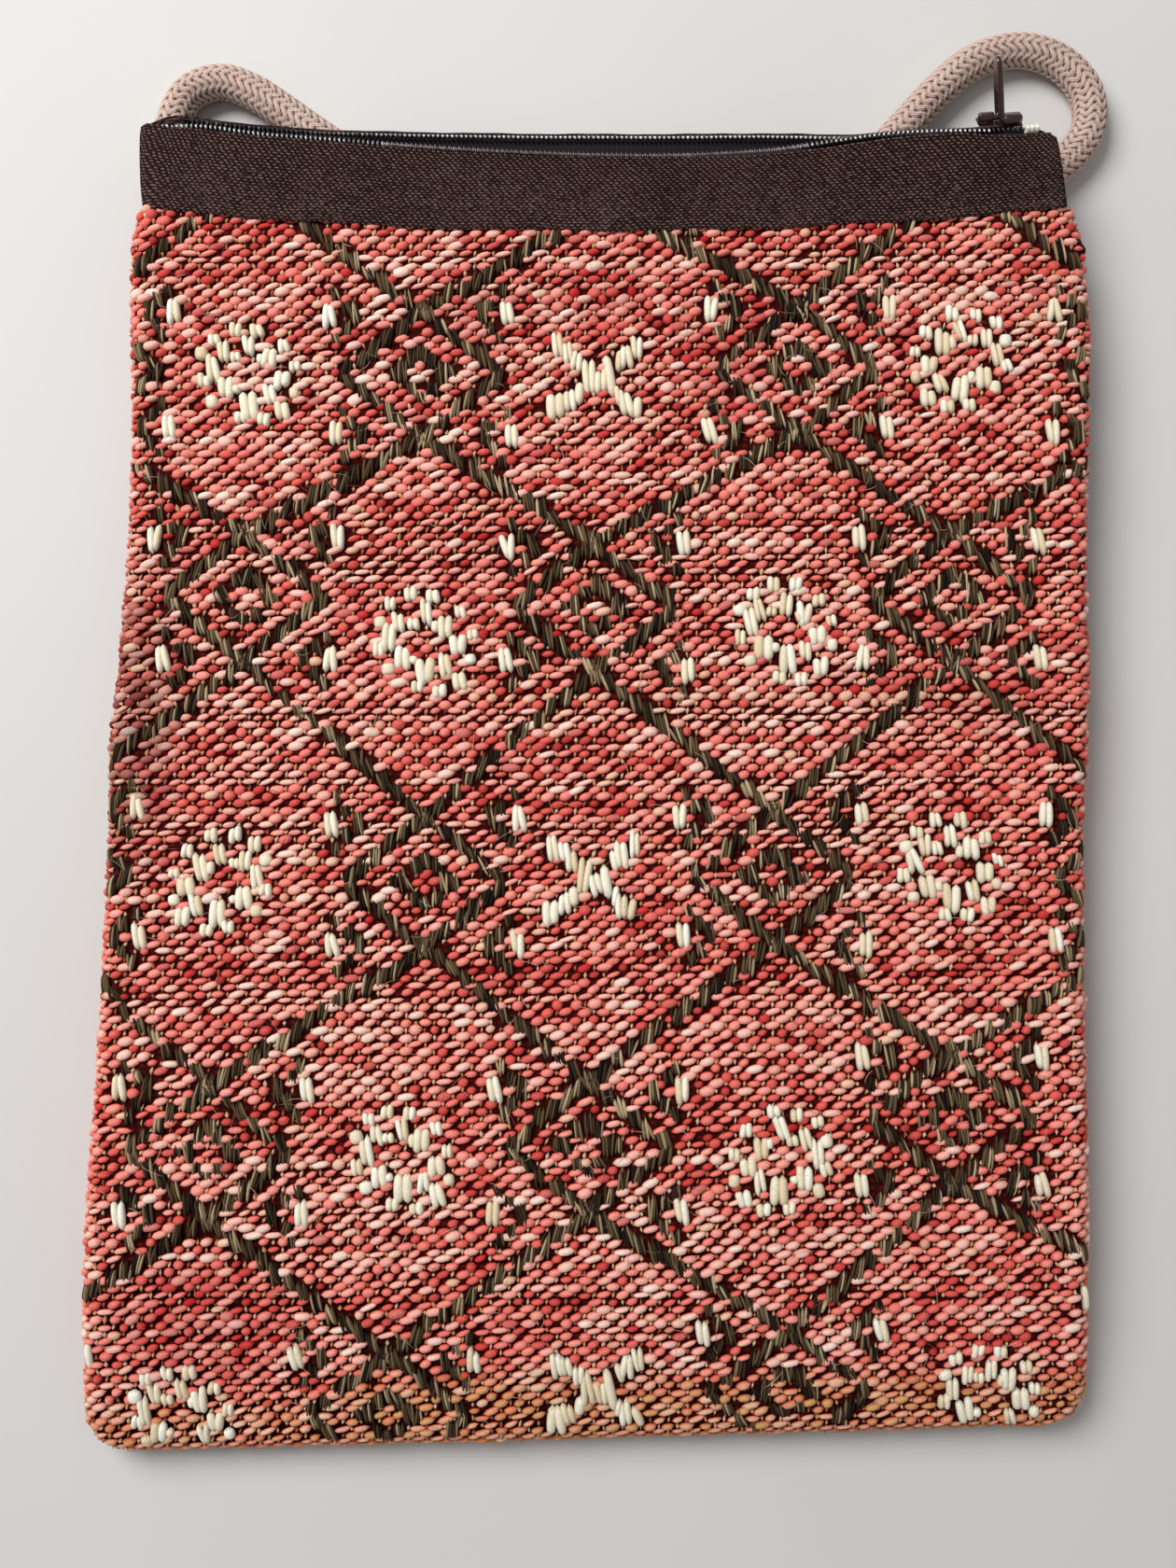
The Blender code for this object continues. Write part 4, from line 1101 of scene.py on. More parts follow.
# %% Weft lenses
WEFT_REPEAT = 5.28 * MM
WEFT_LENGTH = 4.8 * MM
WEFT_GIRTH = 2.35 * MM
WEFT_HEIGHT = 1.05 * MM
WEFT_UNDER_BAND = 2.2 * MM
WEFT_SLIP = 0.17 * MM
REPEATS_EACH_WAY = 34


def covered(centre, stitches):
    """Which places lie under a stitch of the pattern."""
    hidden = np.zeros(len(centre), dtype=bool)
    x, y = centre[:, 0] / MM, centre[:, 1] / MM
    for sx, sy, height, width, _, _ in stitches:
        hidden |= (np.abs(x - sx) < width / 2 + 0.15) & (np.abs(y - sy) < height / 2 - 0.9)
    return hidden


def weft_places(first, last, shift=0.0):
    """Every place where a weft yarn passes over a warp on these rows.

    A shift of half a repeat gives the places between them instead.
    """
    found = []
    for index in range(first, last):
        offsets = np.arange(-REPEATS_EACH_WAY, REPEATS_EACH_WAY + 1) + 0.5 * (index % 2) + shift
        offsets = offsets * WEFT_REPEAT
        offsets = offsets + 0.12 * MM * np.sin(offsets * 190 + index * 1.7)
        frames = yarn_frames(index, offsets)
        found.append((*frames, np.full(len(frames[0]), index)))
    return [np.concatenate(parts) for parts in zip(*found)]


def settled(centre, outward, height, depth):
    """Centres set into the cloth, and deeper where the floor would squash a lens."""
    room = (centre[:, 2] + 0.2 * MM) / np.maximum(-outward[:, 2], 0.001)
    sink = depth + np.clip(height - depth - room, 0, height)
    return centre - outward * sink[:, None]


def weft_piece(name, first, last, seed, lens, hidden_by=()):
    """The weft yarns of some rows, without those that lie under stitches."""
    places = weft_places(first, last)
    edge = np.where(places[3][:, 2] > -0.5, FRONT_BAND_EDGE, BACK_BAND_EDGE)
    in_sight = places[0][:, 1] < band_edge(places[0][:, 0], edge) + WEFT_UNDER_BAND
    places = clip_places(places, in_sight & ~covered(places[0], hidden_by))
    centre, ahead, upward, outward, yarn = places
    dice = np.random.default_rng(seed)
    count = len(centre)
    yarn_dice = np.random.default_rng(5).random(len(weft_rows) + 1)
    spun = 1 + 0.24 * (yarn_dice[yarn] - 0.55) + 0.1 * clouds(centre[:, 0], centre[:, 1] * 9, 0.07, seed)
    spun = np.where(yarn_dice[yarn] > THIN_YARN, spun * 0.66, spun)
    size = np.column_stack([
        WEFT_LENGTH * np.clip(dice.normal(1, 0.16, count), 0.6, 1.4),
        WEFT_GIRTH * np.clip(spun * dice.normal(1, 0.12, count), 0.6, 1.4),
        WEFT_HEIGHT * np.clip(spun * dice.normal(1, 0.16, count), 0.6, 1.5),
    ])
    tilt = np.radians(dice.normal(14, 6, count))
    colour = weft_colour(centre, yarn_dice[yarn], seed)
    stray = (yarn == pale_row) & (centre[:, 0] > PALE_ROW_ENDS[0]) & (centre[:, 0] < PALE_ROW_ENDS[1])
    colour[stray] = colour[stray] * 0.3 + ramp_of([PALE]) * 0.7
    slip = dice.normal(0, WEFT_SLIP, (2, count))
    centre = settled(centre, outward, size[:, 2], 0.3 * MM)
    centre = centre + upward * slip[0][:, None] + ahead * slip[1][:, None]
    frames = centre, ahead, upward, outward
    lay_yarns(name, "red_wool", lens, frames, size, tilt, colour, seed, WEFT_FOOT_SHADE)


stitch_places = np.array(dark_stitches + cream_stitches)
pattern = stitch_places[inside_cloth(stitch_places[:, 0] * MM, stitch_places[:, 1] * MM)]
pale_row = int(np.argmin([abs(row - PALE_ROW_Y) for row, lift in weft_rows[:front_rows]]))
half_way = front_rows // 2
back_lens = yarn_lens(3, 3)
weft_piece("weft_front_upper", 0, half_way, 41, weft_lens, pattern)
weft_piece("weft_front_lower", half_way, front_rows, 42, weft_lens, pattern)
weft_piece("weft_back", front_rows, len(weft_rows), 43, back_lens)

# %% Warp between the weft
WARP_BIT = (2.2 * MM, 1.0 * MM, 0.95 * MM)
WARP_SHARE = 0.8
WARP_SHADES = ramp_of([(188, 104, 74), (230, 168, 122), (250, 206, 164)])
warp_lens = yarn_lens(2, 2)

places = weft_places(0, front_rows, 0.5)[:4]
centre = places[0]
in_sight = (centre[:, 1] < band_edge(centre[:, 0], FRONT_BAND_EDGE) + 2 * MM) & ~covered(centre, pattern)
dice = np.random.default_rng(44)
in_sight &= dice.random(len(centre)) < WARP_SHARE
centre, ahead, upward, outward = clip_places(places, in_sight)
count = len(centre)
size = np.array(WARP_BIT) * np.clip(dice.normal(1, 0.2, (count, 3)), 0.5, 1.5)
tilt = np.radians(dice.normal(84, 12, count))
colour = WARP_SHADES[dice.integers(0, len(WARP_SHADES), count)]
centre = settled(centre, outward, size[:, 2], 0.35 * MM)
frames = centre, ahead, upward, outward
lay_yarns("warp_bits", "red_wool", warp_lens, frames, size, tilt, colour, 45)

# %% Stray fibres
FIBRE_COUNT = 900
FIBRE_SHADES = ramp_of([(240, 190, 176), (226, 190, 150), (250, 226, 200), (200, 90, 84)])
FIBRE_BEND = 5
fibre_lens = yarn_lens(6, 2)
fibre_lens[0][:, 1] += FIBRE_BEND * (4 * fibre_lens[0][:, 0] ** 2 - 0.5)

dice = np.random.default_rng(46)
x = dice.uniform(-0.14, 0.142, FIBRE_COUNT)
y = dice.uniform(-0.19, 0.15, FIBRE_COUNT)
keep = inside_cloth(x, y)
point, ahead, upward, normal = on_front(x[keep], y[keep])
count = len(point)
size = [dice.uniform(3, 8, count), dice.uniform(0.08, 0.14, count), np.full(count, 0.12)]
size = np.column_stack(size) * MM
tilt = dice.uniform(0, 2 * math.pi, count)
colour = FIBRE_SHADES[dice.integers(0, len(FIBRE_SHADES), count)]
centre = point + normal * dice.uniform(0.6, 1.0, count)[:, None] * MM
frames = centre, ahead, upward, normal
lay_yarns("stray_fibres", "red_wool", fibre_lens, frames, size, tilt, colour, 47)

# %% [markdown]
# ## Facing band
#
# A strip of dark twill faces the mouth: it runs along the front, folds round the
# left corner and runs back along the back leaf. Its slack top edge sags a little in
# the middle, where the bag gapes. The strip is a grid bent round the mouth, and its
# two long edges roll inwards as a folded cloth edge does. The twill itself is too
# fine to model, so its dashes and ribs are colour and bump on a map that follows
# the strip.

# %% Sizes of the band and the slack rows
BAND_CLOTH = 0.9 * MM
BAND_BEND = 12 * MM
BAND_SWELL = 0.22 * MM
EDGE_ROLL = 0.55 * MM
BACK_SLUMP = 2.3 * MM
LEFT_END_ROUND = (8 * MM, 4.2 * MM)
RIGHT_END_ROUND = (6 * MM, 1.6 * MM)
LEFT_END_SHIFT = 2.1 * MM
RIGHT_END_SHIFT = 2.7 * MM
FRONT_ROW = [
    (-127, 0.5), (-124, 1.2), (-120, 1.9), (-117, 2.15), (-113, 2.5), (-106, 2.2), (-99, 1.3), (-80, 1.3),
    (-60, 0.7), (-37, -0.05), (1, -1.07), (22, -1.36), (33, -1.2), (47, -0.8), (55, -0.35), (63, 0.65),
    (71, 1.4), (76, 2.05), (82, 2.6), (92, 2.85), (106, 2.1), (117, 1.0), (130, 0.7),
]
BACK_ROW = [
    (-125, 0.7), (-119, 0.7), (-105, 0.0), (-84, -0.35), (-60, 0.3), (-37, 0.8), (1, 1.1), (45, 0.6),
    (64, -0.4), (72, -1.15), (94, -1.3), (107, -1.5), (117, -1.7), (125, -3.2), (134, -3.8),
]
FRONT_TOP = [
    (-134, 1.6), (-121, 1.8), (-114, 2.05), (-107, 1.8), (-100, 1.3), (-80, 1.1), (-37, -0.6), (1, -1.3),
    (33, -1.6), (44, -1.5), (58, -1.1), (66, -0.1), (71, 0.6), (77, 1.1), (87, 1.9), (103, 2.2),
    (109, 1.7), (113, 0.6), (117, -0.5), (123, -0.7), (131, -0.5), (135, -0.9),
]


def row_shift(x, table):
    """How far a row of the slack zip lies from its even arc, smoothed."""
    places, shifts = np.array(table).T * MM
    return sum(np.interp(x + step * MM, places, shifts) for step in (-6, -3, 0, 3, 6)) / 5


BAND_CORNER_X = band_low.x + BAND_CLOTH + 6.5 * MM
BAND_FLAT = band_high.x - BAND_CORNER_X
BAND_RUN = 2 * BAND_FLAT + BAND_BEND
FRONT_BAND_TOP = FRONT_BAND_EDGE + BAND_WIDTH
BACK_BAND_TOP = BACK_BAND_EDGE + BAND_WIDTH
print("band corner turns at", round(BAND_CORNER_X / MM, 1), "mm")

# %% Build the band
def band_surface(along, up):
    """Places on the strip and their length along it, for shares of its length and width."""
    run = along * BAND_RUN
    evenly = rise(run, BAND_FLAT, BAND_BEND)
    angle = math.pi / 2 + math.pi * evenly
    x = BAND_CORNER_X + np.maximum(BAND_FLAT - run, 0) + np.maximum(run - BAND_FLAT - BAND_BEND, 0)
    x = x + (BAND_CORNER_X - band_low.x) * np.cos(angle)
    high = (band_high.z - band_low.z) / 2
    late = rise(evenly, 0.5, 0.5) ** 2
    top = FRONT_BAND_TOP + (BACK_BAND_TOP - FRONT_BAND_TOP) * (late * (1 - up) + evenly * up)
    from_edge = np.minimum(up, 1 - up) * BAND_WIDTH
    rolled = EDGE_ROLL * (1 - quarter_round(rise(from_edge, 0, EDGE_ROLL)))
    seam = np.exp(-((from_edge - 1.5 * MM) / (0.7 * MM)) ** 2)
    swell = BAND_SWELL * (np.sin(math.pi * up) ** 2 - seam)
    wave = 0.16 * MM * np.sin(run * 210 + up * 4) + 0.1 * MM * np.sin(run * 570 + 1.3 + up * 9)
    out = swell + wave - rolled
    z = (band_high.z + band_low.z) / 2 + (high + out) * np.sin(angle)
    x = x + out * np.cos(angle)
    hem_wave = (1 - up) * (0.3 * MM * np.sin(run * 130) + 0.15 * MM * np.sin(run * 410 + 2))
    y = band_edge(x, top - (1 - up) * BAND_WIDTH) + hem_wave
    front_shift = row_shift(x, FRONT_TOP)
    back_shift = row_shift(x, BACK_ROW) - BACK_SLUMP
    y = y + ((1 - evenly) * front_shift + evenly * back_shift) * up ** 2
    ends = ((x - band_low.x, *LEFT_END_ROUND), (band_high.x - x, *RIGHT_END_ROUND))
    for from_end, reach, drop in ends:
        y = y - drop * (1 - quarter_round(rise(from_end, 0, reach))) * up ** 6
    x = x - RIGHT_END_SHIFT * up * rise(x, band_high.x - 25 * MM, 25 * MM) ** 2
    x = x - LEFT_END_SHIFT * rise(-x, 95 * MM, 30 * MM) * (1 - 0.6 * (1 - up) ** 5)
    return np.column_stack([x, y, z]), run


BAND_COLUMNS = 300
band_ups = np.concatenate([[0, 0.008, 0.02], np.linspace(0.045, 0.955, 14), [0.98, 0.992, 1]])
bm = bmesh.new()
bmesh.ops.create_grid(bm, x_segments=BAND_COLUMNS, y_segments=len(band_ups) - 1, size=0.5)
band_mesh = mesh_from(bm, "twill_band")
along, row, _ = points_of(band_mesh).T + 0.5
up = band_ups[np.rint(row * (len(band_ups) - 1)).astype(int)]
band_points, band_run = band_surface(along, up)
band_mesh.vertices.foreach_set("co", band_points.ravel())
from_corner = np.abs(band_run - BAND_FLAT - BAND_BEND / 2)
write_values(band_mesh, "rib_lean", 1 - 0.6 * np.exp(-from_corner / (11 * MM)))
write_map(band_mesh, "twill", np.column_stack([band_run, up * BAND_WIDTH]) / MM)
bm = bmesh.new()
bm.from_mesh(band_mesh)
bmesh.ops.recalc_face_normals(bm, faces=bm.faces)
middle_face = max(bm.faces, key=lambda face: face.calc_center_median().z)
if middle_face.normal.z < 0:
    bmesh.ops.reverse_faces(bm, faces=bm.faces)
bmesh.ops.solidify(bm, geom=bm.faces, thickness=BAND_CLOTH * 0.8)
bm.to_mesh(band_mesh)
bm.free()
print("band strip:", round(band_run.max() / MM), "mm long")

# %% Twill
DASH_REPEAT = 1.75
DASH_ROW = 0.80
DASH_SHIFT = 0.42


def twill_finish():
    """Dark twill: short pale dashes whose rows are offset, so that they line up in ribs.

    Its colour follows its relief, as painted light and shade: lighter on the dashes,
    darker in the rib grooves, and darker still in the grooves near the top edge.
    """
    finish = Finish("dark_twill", roughness=0.9, specular=0.15)
    along, up = finish.map_place("twill")
    lean = finish.attribute("rib_lean", "Fac")
    fuzz = finish.noise(1100, 4)
    sway = finish.noise(330, 2)
    cloud = finish.noise(40, 3)
    row = (up * (1 / DASH_ROW) + sway * 0.25).whole()
    phase = along * (-1 / DASH_REPEAT) + row * lean * DASH_SHIFT + sway * 1.1
    across_row = (up * (1 / DASH_ROW) + sway * 0.25).wave()
    dash = phase.wave().part_of(0.2, 0.85) * across_row.part_of(0.35, 0.95)
    rib = (along * (-1 / DASH_REPEAT) + up * lean * (DASH_SHIFT / DASH_ROW) + sway * 1.1).wave()
    strong = (up * (1 / 23)).part_of(0.25, 0.95)
    height = dash - rib.part_of(0.45, 0.0) * (0.08 + 0.35 * strong)
    patchy = finish.noise(620, 2).part_of(0.3, 0.62)
    # painted light and shade: the colour rises with the relief of dashes and ribs
    shade = height * (0.3 + 0.5 * patchy) + (fuzz - 0.5) * 1.1 + (cloud - 0.5) * 0.3 + 0.12
    deep = finish.mix(cloud, (18, 5, 4), (26, 10, 9))
    bright = finish.mix(cloud, (140, 106, 98), (122, 96, 92))
    finish.colour(shade.part_of(0, 1), deep, bright)
    finish.bump(height * 0.8 + fuzz * 0.5, 0.2 * MM)
    return finish


put_in_scene("twill_band", band_mesh, "bag", "brown_twill", twill_finish(), "mouth_band")

# %% Threads on the band
STITCH_HEIGHT = 0.3 * MM


def thread_row(name, x, up, length, width, shades, seed):
    """Short stitches on the front of the band."""
    share = (band_high.x - x) / BAND_RUN
    centre = band_surface(share, up)[0]
    ahead = unit(band_surface(share - 0.5 * MM / BAND_RUN, up)[0] - centre)
    count = len(x)
    outward = np.tile([0, 0, 1.0], (count, 1))
    dice = np.random.default_rng(seed)
    lengths = length * dice.normal(1, 0.12, count)
    size = np.column_stack([lengths, np.full(count, width), np.full(count, STITCH_HEIGHT)])
    ramp = ramp_of(shades)
    colour = ramp[dice.integers(0, len(ramp), count)]
    tilt = dice.normal(0, 0.12, count)
    frames = centre - outward * 0.1 * MM, ahead, np.cross(outward, ahead), outward
    lay_yarns(name, "brown_twill", warp_lens, frames, size, tilt, colour, seed)


thread_x = np.arange(band_low.x + 7 * MM, band_high.x - 1.5 * MM, 2.3 * MM)
thread_row("edge_thread", thread_x, np.full(len(thread_x), 0.062), 1.5 * MM, 0.42 * MM,
           [(40, 32, 40), (56, 46, 56), (110, 100, 104), (30, 22, 26)], 51)
knot_x = np.arange(86 * MM, band_high.x - 3 * MM, 1.15 * MM)
knot_up = 0.05 + 0.05 * (np.arange(len(knot_x)) % 2)
thread_row("mended_edge", knot_x, knot_up, 0.75 * MM, 0.5 * MM,
           [(150, 144, 144), (120, 110, 112), (196, 190, 186), (70, 60, 64)], 52)
top_x = np.arange(62 * MM, 100 * MM, 1.25 * MM)
thread_row("top_thread", top_x, np.full(len(top_x), 0.975), 0.75 * MM, 0.42 * MM,
           [(150, 128, 124), (110, 92, 90), (186, 170, 166)], 53)

# %% [markdown]
# ## Zip
#
# A coil zip has two spirals of nylon thread, each sewn to the edge of a woven tape.
# The zip lies on a wide arc and its plane is rolled towards the mouth, so the back
# row lies lower than the front one. A spiral is a tube swept along a line that
# circles the row once for each tooth. The row of bright dots is painted highlight:
# a small pale lens on the crown of each turn, brighter where the coil shines.

# %% Zip coordinates
ZIP_ROLL = math.radians(40)
COIL_WIDTH = 2.0 * MM
COIL_HEIGHT = 2.2 * MM
TOOTH_PITCH = 1.38 * MM
COIL_THREAD = 0.30 * MM
front_level = (front_coil_low.z + front_coil_high.z) / 2
back_level = (back_coil_low.z + back_coil_high.z) / 2
ZIP_Z = (front_level + back_level) / 2
ROW_HALF = (front_level - back_level) / 2 / math.sin(ZIP_ROLL)


def on_zip(x, across, out):
    """Points from a place along the zip and two lengths in its section."""
    angle = np.arcsin((x - MOUTH_MIDDLE) / ZIP_RADIUS)
    level = across * math.cos(ZIP_ROLL) + out * math.sin(ZIP_ROLL)
    rise = out * math.cos(ZIP_ROLL) - across * math.sin(ZIP_ROLL)
    reach = ZIP_RADIUS - level
    x = MOUTH_MIDDLE + reach * np.sin(angle)
    y = ZIP_Y + ZIP_RADIUS - reach * np.cos(angle)
    return np.stack(np.broadcast_arrays(x, y, ZIP_Z + rise), axis=-1)


def slack_row(points, side):
    """Moves a row with the gaping mouth. side is -1 for the front and 1 for the back."""
    points = points.copy()
    points[:, 1] += row_shift(points[:, 0], BACK_ROW if side > 0 else FRONT_ROW)
    return points


print("rows stand", round(2 * ROW_HALF / MM, 2), "mm apart")

# %% Coils
def coil_line(side, start_x, end_x, steps=12):
    turns = round((end_x - start_x) / TOOTH_PITCH)
    share = np.linspace(0, 1, turns * steps + 1)
    angle = share * turns * 2 * math.pi
    across = side * ROW_HALF + (COIL_WIDTH / 2 - COIL_THREAD) * np.cos(angle)
    out = (COIL_HEIGHT / 2 - COIL_THREAD) * np.sin(angle)
    return slack_row(on_zip(start_x + (end_x - start_x) * share, across, out), side)


def nylon_finish():
    finish = Finish("black_nylon_thread", roughness=0.28, coat=0.6)
    dust = finish.noise(900, 3)
    finish.colour(dust.part_of(0.45, 0.8), (22, 20, 24), (70, 62, 66))
    finish.bump(dust, 0.02 * MM)
    return finish


def thread_tube(name, line, radius, sides=5):
    """A closed tube of even thickness along any line."""
    mesh, column, ring = tube_grid(name, len(line), sides)
    angle = -column / sides * 2 * math.pi
    heading = unit(np.gradient(line, axis=0))
    side = unit(np.cross(heading, (1.0, 0.02, 0.03)))
    above = np.cross(side, heading)
    outward = side[ring] * np.cos(angle)[:, None] + above[ring] * np.sin(angle)[:, None]
    mesh.vertices.foreach_set("co", (line[ring] + outward * radius).ravel())
    close_tube(mesh, 0.001 * MM)
    return mesh


nylon = nylon_finish()
coil_ends = front_coil_low.x, front_coil_high.x
for name, side in (("zip_coil_front", -1), ("zip_coil_back", 1)):
    spiral = thread_tube(name + "_spiral", coil_line(side, *coil_ends), COIL_THREAD)
    put_in_scene(name + "_spiral", spiral, "bag", "black_nylon", nylon, name)

# %% Painted highlights on the zip coils
FINE_SPAN = 61 * MM
HIGHLIGHT_END = 114 * MM
BOLD_FROM = 62 * MM


def coil_highlights(name, side, across, out, size, lean, shades, brightness, seed, per_tooth=1, early=0):
    """Painted highlights along one row: pale lenses at a place in its section.

    brightness is a table of (x, share) that sets how brightly the row shines along
    its length. early is how many more marks there are before the coil's first turn;
    the first of them are made larger, as a painted glint at the zip's end.
    """
    start_x, end_x = coil_ends
    turns = round((end_x - start_x) / TOOTH_PITCH)
    x = start_x + (np.arange(-early, turns * per_tooth) + 0.5) * (end_x - start_x) / (turns * per_tooth)
    if per_tooth > 1:
        first_of_tooth = np.arange(len(x)) % per_tooth == 0
        x = x[(np.abs(x) < FINE_SPAN) | (first_of_tooth & (x < HIGHLIGHT_END))]
    count = len(x)
    centre = slack_row(on_zip(x, side * ROW_HALF + across, out), side)
    angle = (x - MOUTH_MIDDLE) / ZIP_RADIUS
    ahead = np.column_stack([np.cos(angle), np.sin(angle), np.zeros(count)])
    outward = np.tile([0, 0.25, 0.97], (count, 1))
    dice = np.random.default_rng(seed)
    size = np.array(size) * MM * dice.normal(1, 0.1, (count, 3))
    # painted highlights: larger marks beyond BOLD_FROM, and the first early marks enlarged as a painted
    # glint
    size[x > BOLD_FROM] *= (0.8, 1.5, 1.2)
    size[:early // 4] *= (1.3, 2.0, 1.4)
    places, shares = np.array(brightness).T
    bright = np.interp(x / MM, places, shares) + dice.normal(0, 0.12, count)
    colour = along_ramp(bright, ramp_of(shades))
    tilt = math.radians(lean) + dice.normal(0, 0.1, count)
    frames = centre, ahead, np.cross(outward, ahead), outward
    lay_yarns(name, "zip_tape", weft_lens, frames, size, tilt, colour, seed)


# Painted highlights on both rows; each brightness table says where along the row the coil shines.
coil_highlights("back_row_thread", 1, -0.5 * MM, 0.88 * MM, (0.95, 0.74, 0.34), -35,
            [(40, 36, 40), (170, 168, 168), (255, 255, 252)],
            [(-90, 0.0), (-45, 0.9), (60, 1.0), (80, 0.4)], 61)
coil_highlights("front_row_thread", -1, -0.95 * MM, 0.62 * MM, (1.35, 0.44, 0.34), -66,
            [(118, 96, 94), (170, 154, 152), (255, 254, 250)],
            [(-90, 1.0), (-60, 0.55), (-30, 0.1), (40, 0.15), (75, 0.8), (100, 1.0)], 62,
            per_tooth=2, early=10)

# %% Tapes
def tape_finish():
    """Plain woven tape: fine cords along its length."""
    finish = Finish("zip_tape_weave", roughness=0.8, specular=0.25)
    x, y, z = finish.place()
    cords = (y * (1 / (0.42 * MM)) + z * (1 / (0.5 * MM))).wave()
    picks = (x * (1 / (0.5 * MM))).wave()
    fuzz = finish.noise(2000, 3)
    # painted shade: the colour is darker between the cords and picks and lighter on them
    shade = cords * 0.45 + picks * 0.25 + fuzz * 0.5
    finish.colour(shade.part_of(0.3, 1.1), (14, 9, 12), (66, 54, 64))
    finish.bump(cords * 0.5 + picks * 0.3, 0.08 * MM)
    return finish


tape_weave = tape_finish()


def soft_copy(node, name, cuts, offset):
    """A finer copy of a solid node's mesh, with its long edges eased."""
    bm = bmesh.new()
    bm.from_mesh(nodes[node].data)
    bmesh.ops.remove_doubles(bm, verts=bm.verts, dist=0.001 * MM)
    bmesh.ops.dissolve_limit(bm, angle_limit=math.radians(1), verts=bm.verts, edges=bm.edges)
    sharp = [edge for edge in bm.edges if edge.calc_face_angle(0) > math.radians(35)]
    bmesh.ops.bevel(bm, geom=sharp, offset=offset, segments=cuts, profile=0.5, affect="EDGES", material=-1)
    bmesh.ops.triangulate(bm, faces=bm.faces)
    return mesh_from(bm, name)


TAPES = [("zip_tape_front", FRONT_ROW, -5.6 * MM, 0.4), ("zip_tape_back", BACK_ROW, 4.4 * MM, 0.85)]

for name, table, level, steepness in TAPES:
    tape_mesh = soft_copy(name, name + "_cloth", 2, 0.12 * MM)
    points = points_of(tape_mesh)
    above_line = points[:, 1] - band_edge(points[:, 0], ZIP_Y)
    near_zip = rise(above_line, -12 * MM, 8 * MM)
    drop = np.maximum(above_line - level, 0) * steepness
    points[:, 1] += row_shift(points[:, 0], table) * near_zip - drop
    tape_mesh.vertices.foreach_set("co", points.ravel())
    put_in_scene(name + "_cloth", tape_mesh, "bag", "zip_tape", tape_weave, name)

# %% Lining behind the open row
LINING_REACH = 78 * MM
LINING_MIDDLE = 3 * MM
LINING_TOP = 2.3 * MM
LINING_FOOT = -0.35 * MM
LINING_LEVEL = 15.3 * MM
LINING_SAG = 1.6 * MM

bm = bmesh.new()
bmesh.ops.create_grid(bm, x_segments=70, y_segments=5, size=0.5)
for vert in bm.verts:
    x = vert.co.x * 2 * LINING_REACH + LINING_MIDDLE
    down = 0.5 - vert.co.y
    top = row_shift(x, BACK_ROW) + LINING_TOP
    foot = row_shift(x, FRONT_ROW) * 0.5 + LINING_FOOT
    y = band_edge(x, ZIP_Y) + top * (1 - down) + foot * down
    vert.co = Vector((x, y, LINING_LEVEL - LINING_SAG * down ** 2))
bmesh.ops.recalc_face_normals(bm, faces=bm.faces)
if sum(face.normal.z for face in bm.faces) < 0:
    bmesh.ops.reverse_faces(bm, faces=bm.faces)
bmesh.ops.solidify(bm, geom=bm.faces, thickness=0.5 * MM)
put_in_scene("zip_lining", mesh_from(bm, "zip_lining"), "bag", "zip_tape", tape_weave)

# %% Slider and pull
def enamel_finish():
    """Glossy dark maroon enamel, with random paler pink specks."""
    finish = Finish("maroon_enamel", roughness=0.22, coat=1.0)
    cloud = finish.noise(500, 3)
    speck = finish.noise(2600, 2)
    body = finish.mix(cloud, (34, 9, 11), (60, 20, 21))
    finish.colour(speck.part_of(0.66, 0.84), body, (120, 80, 78))
    finish.feed("Roughness", 0.16 + cloud * 0.2)
    return finish


SLIDER_X = 117.8 * MM
slider_angle = math.asin((SLIDER_X - MOUTH_MIDDLE) / ZIP_RADIUS)


def rounded_block(bm, low, high, ease):
    """Adds a block with eased edges, between two corners given along, across and out."""
    made = bmesh.ops.create_cube(bm, size=1)["verts"]
    middle = (Vector(low) + Vector(high)) / 2
    bmesh.ops.scale(bm, verts=made, vec=Vector(high) - Vector(low))
    bmesh.ops.translate(bm, verts=made, vec=middle)
    edges = list({edge for vert in made for edge in vert.link_edges})
    bmesh.ops.bevel(bm, geom=edges, offset=ease, segments=4, profile=0.5, affect="EDGES", material=-1)


SLIDER_BLOCKS = [
    ((-6.25, -4.9, -2.2), (6.25, 4.9, -1.4), 0.3), ((-6.0, -1.9, 1.4), (6.2, 4.7, 2.3), 0.35),
    ((-5.6, -0.9, -1.6), (2.0, 0.9, 1.6), 0.3), ((-6.6, -0.8, 1.9), (-2.0, 1.2, 5.4), 0.7),
    ((-0.1, -2.9, 1.9), (5.9, 0.7, 5.1), 1.2), ((-4.4, -0.6, 3.2), (2.0, 0.2, 4.4), 0.3),
]

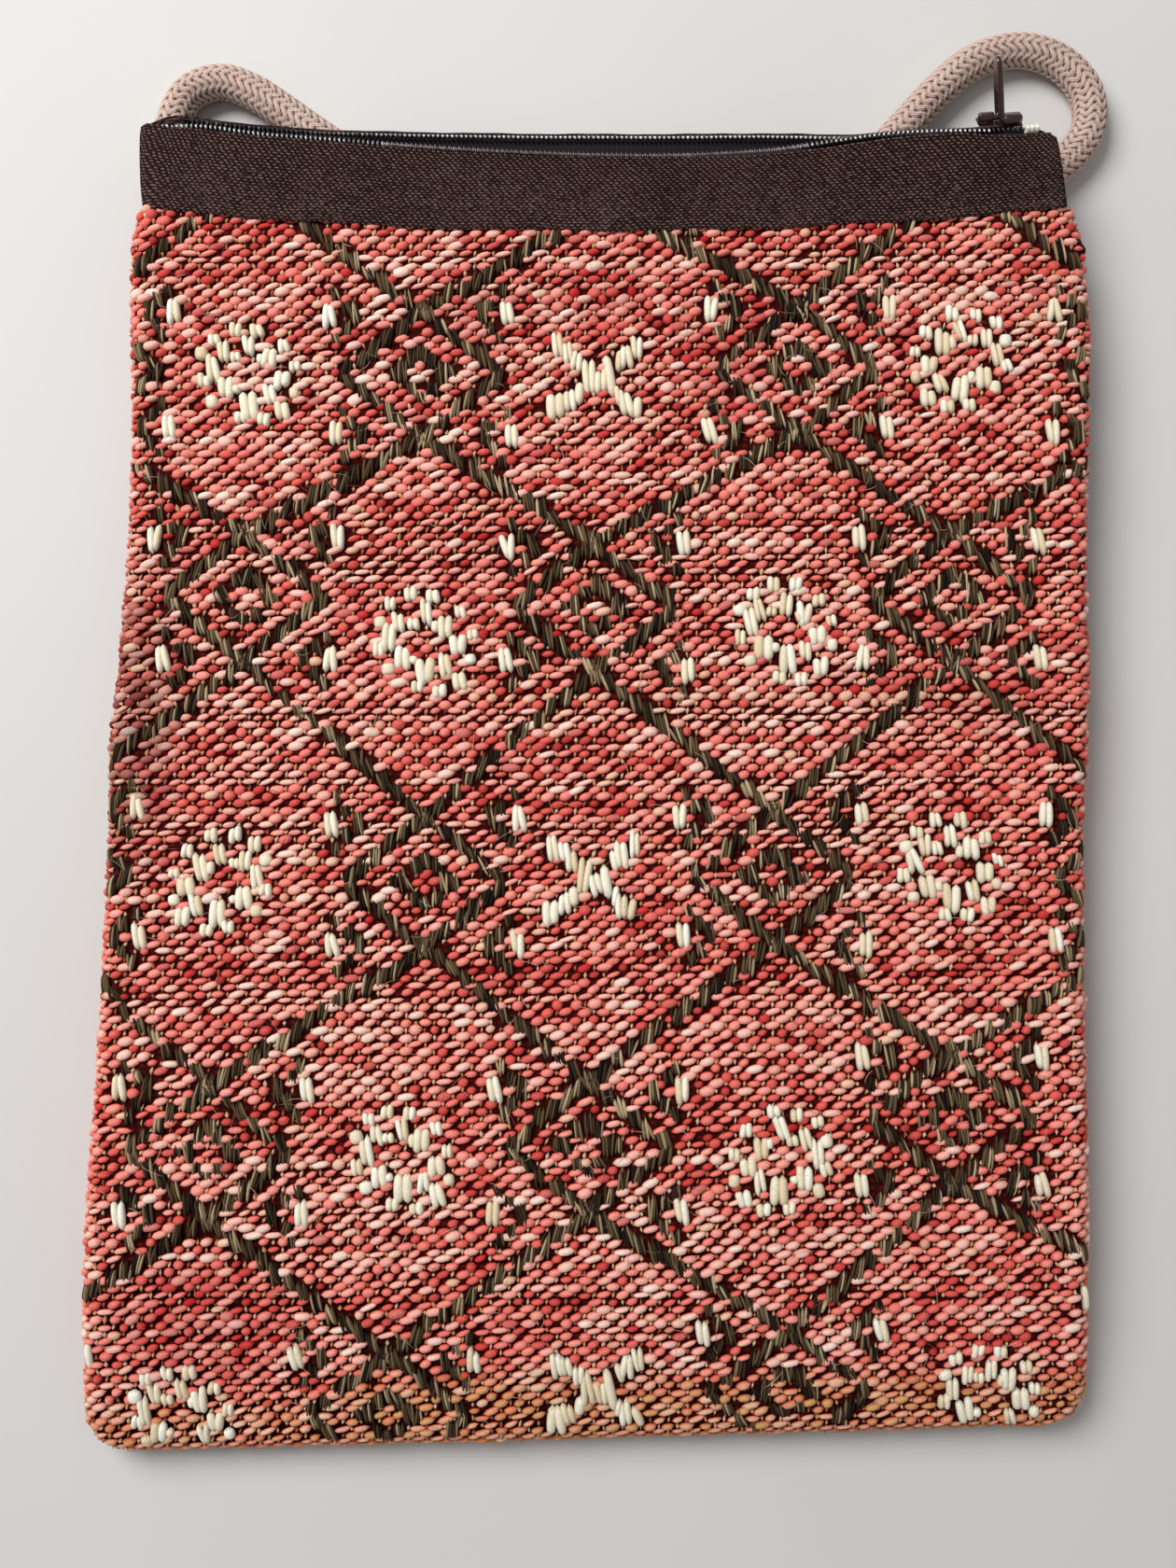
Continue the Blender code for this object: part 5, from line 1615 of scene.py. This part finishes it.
bm = bmesh.new()
for low, high, ease in SLIDER_BLOCKS:
    rounded_block(bm, low, high, ease)
for vert in bm.verts:
    along, across, out = vert.co * MM
    heading = Vector((math.cos(slider_angle), math.sin(slider_angle), 0))
    vert.co = Vector(on_zip(SLIDER_X, across, out)) + heading * along
enamel = enamel_finish()
slider_mesh = mesh_from(bm, "enamelled_slider")
put_in_scene("enamelled_slider", slider_mesh, "slider", "brown_enamel", enamel, "zip_slider")
pull_mesh = soft_copy("zip_pull_tab", "enamelled_pull", 3, 0.4 * MM)
pull_low, pull_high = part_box("zip_pull_tab")
for vert in pull_mesh.vertices:
    share = (vert.co.z - pull_low.z) / (pull_high.z - pull_low.z)
    vert.co.x += (1.3 * share - 0.5) * MM
    vert.co.y += 1.3 * MM * share
put_in_scene("enamelled_pull", pull_mesh, "pull", "brown_enamel", enamel, "zip_pull_tab")

# %% End stops
def plastic_finish(name, dark, pale):
    finish = Finish(name, roughness=0.35, coat=0.3)
    cloud = finish.noise(900, 2)
    finish.colour(cloud, dark, pale)
    finish.feed("Roughness", 0.25 + cloud * 0.25)
    return finish


def end_stop(name, node, slot, finish, blocks):
    """A stop made of blocks, each given by its place from the stop's end and its size."""
    start_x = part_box(node)[0].x
    bm = bmesh.new()
    for middle, size in blocks:
        half = Vector(size) / 2
        rounded_block(bm, Vector(middle) - half, Vector(middle) + half, 0.3)
    for vert in bm.verts:
        along, across, out = vert.co * MM
        vert.co = Vector(on_zip(start_x + along, across, out))
    put_in_scene(name, mesh_from(bm, name), "bag", slot, finish, node)


right_blocks = [((0.3 + 1.4 * step, -4.6, 1.9), (1.0, 2.1, 1.5)) for step in range(3)]
right_blocks += [((1.7, -4.3, 0.7), (3.8, 1.2, 1.2)), ((-0.7, -1.4, 1.2), (1.3, 0.9, 1.0))]
left_blocks = [
    ((2.0, -1.2, 0.0), (3.8, 5.0, 1.5)), ((3.0, -1.9, 0.9), (0.9, 2.2, 1.0)),
    ((1.9, -2.5, 0.8), (0.9, 1.8, 1.0)),
]
milky = plastic_finish("milky_plastic", (236, 230, 206), (255, 254, 244))
smoky = plastic_finish("smoky_plastic", (12, 9, 11), (38, 32, 34))
end_stop("right_stop", "zip_stop_right", "pale_plastic", milky, right_blocks)
end_stop("left_stop", "zip_stop_left", "black_nylon", smoky, left_blocks)
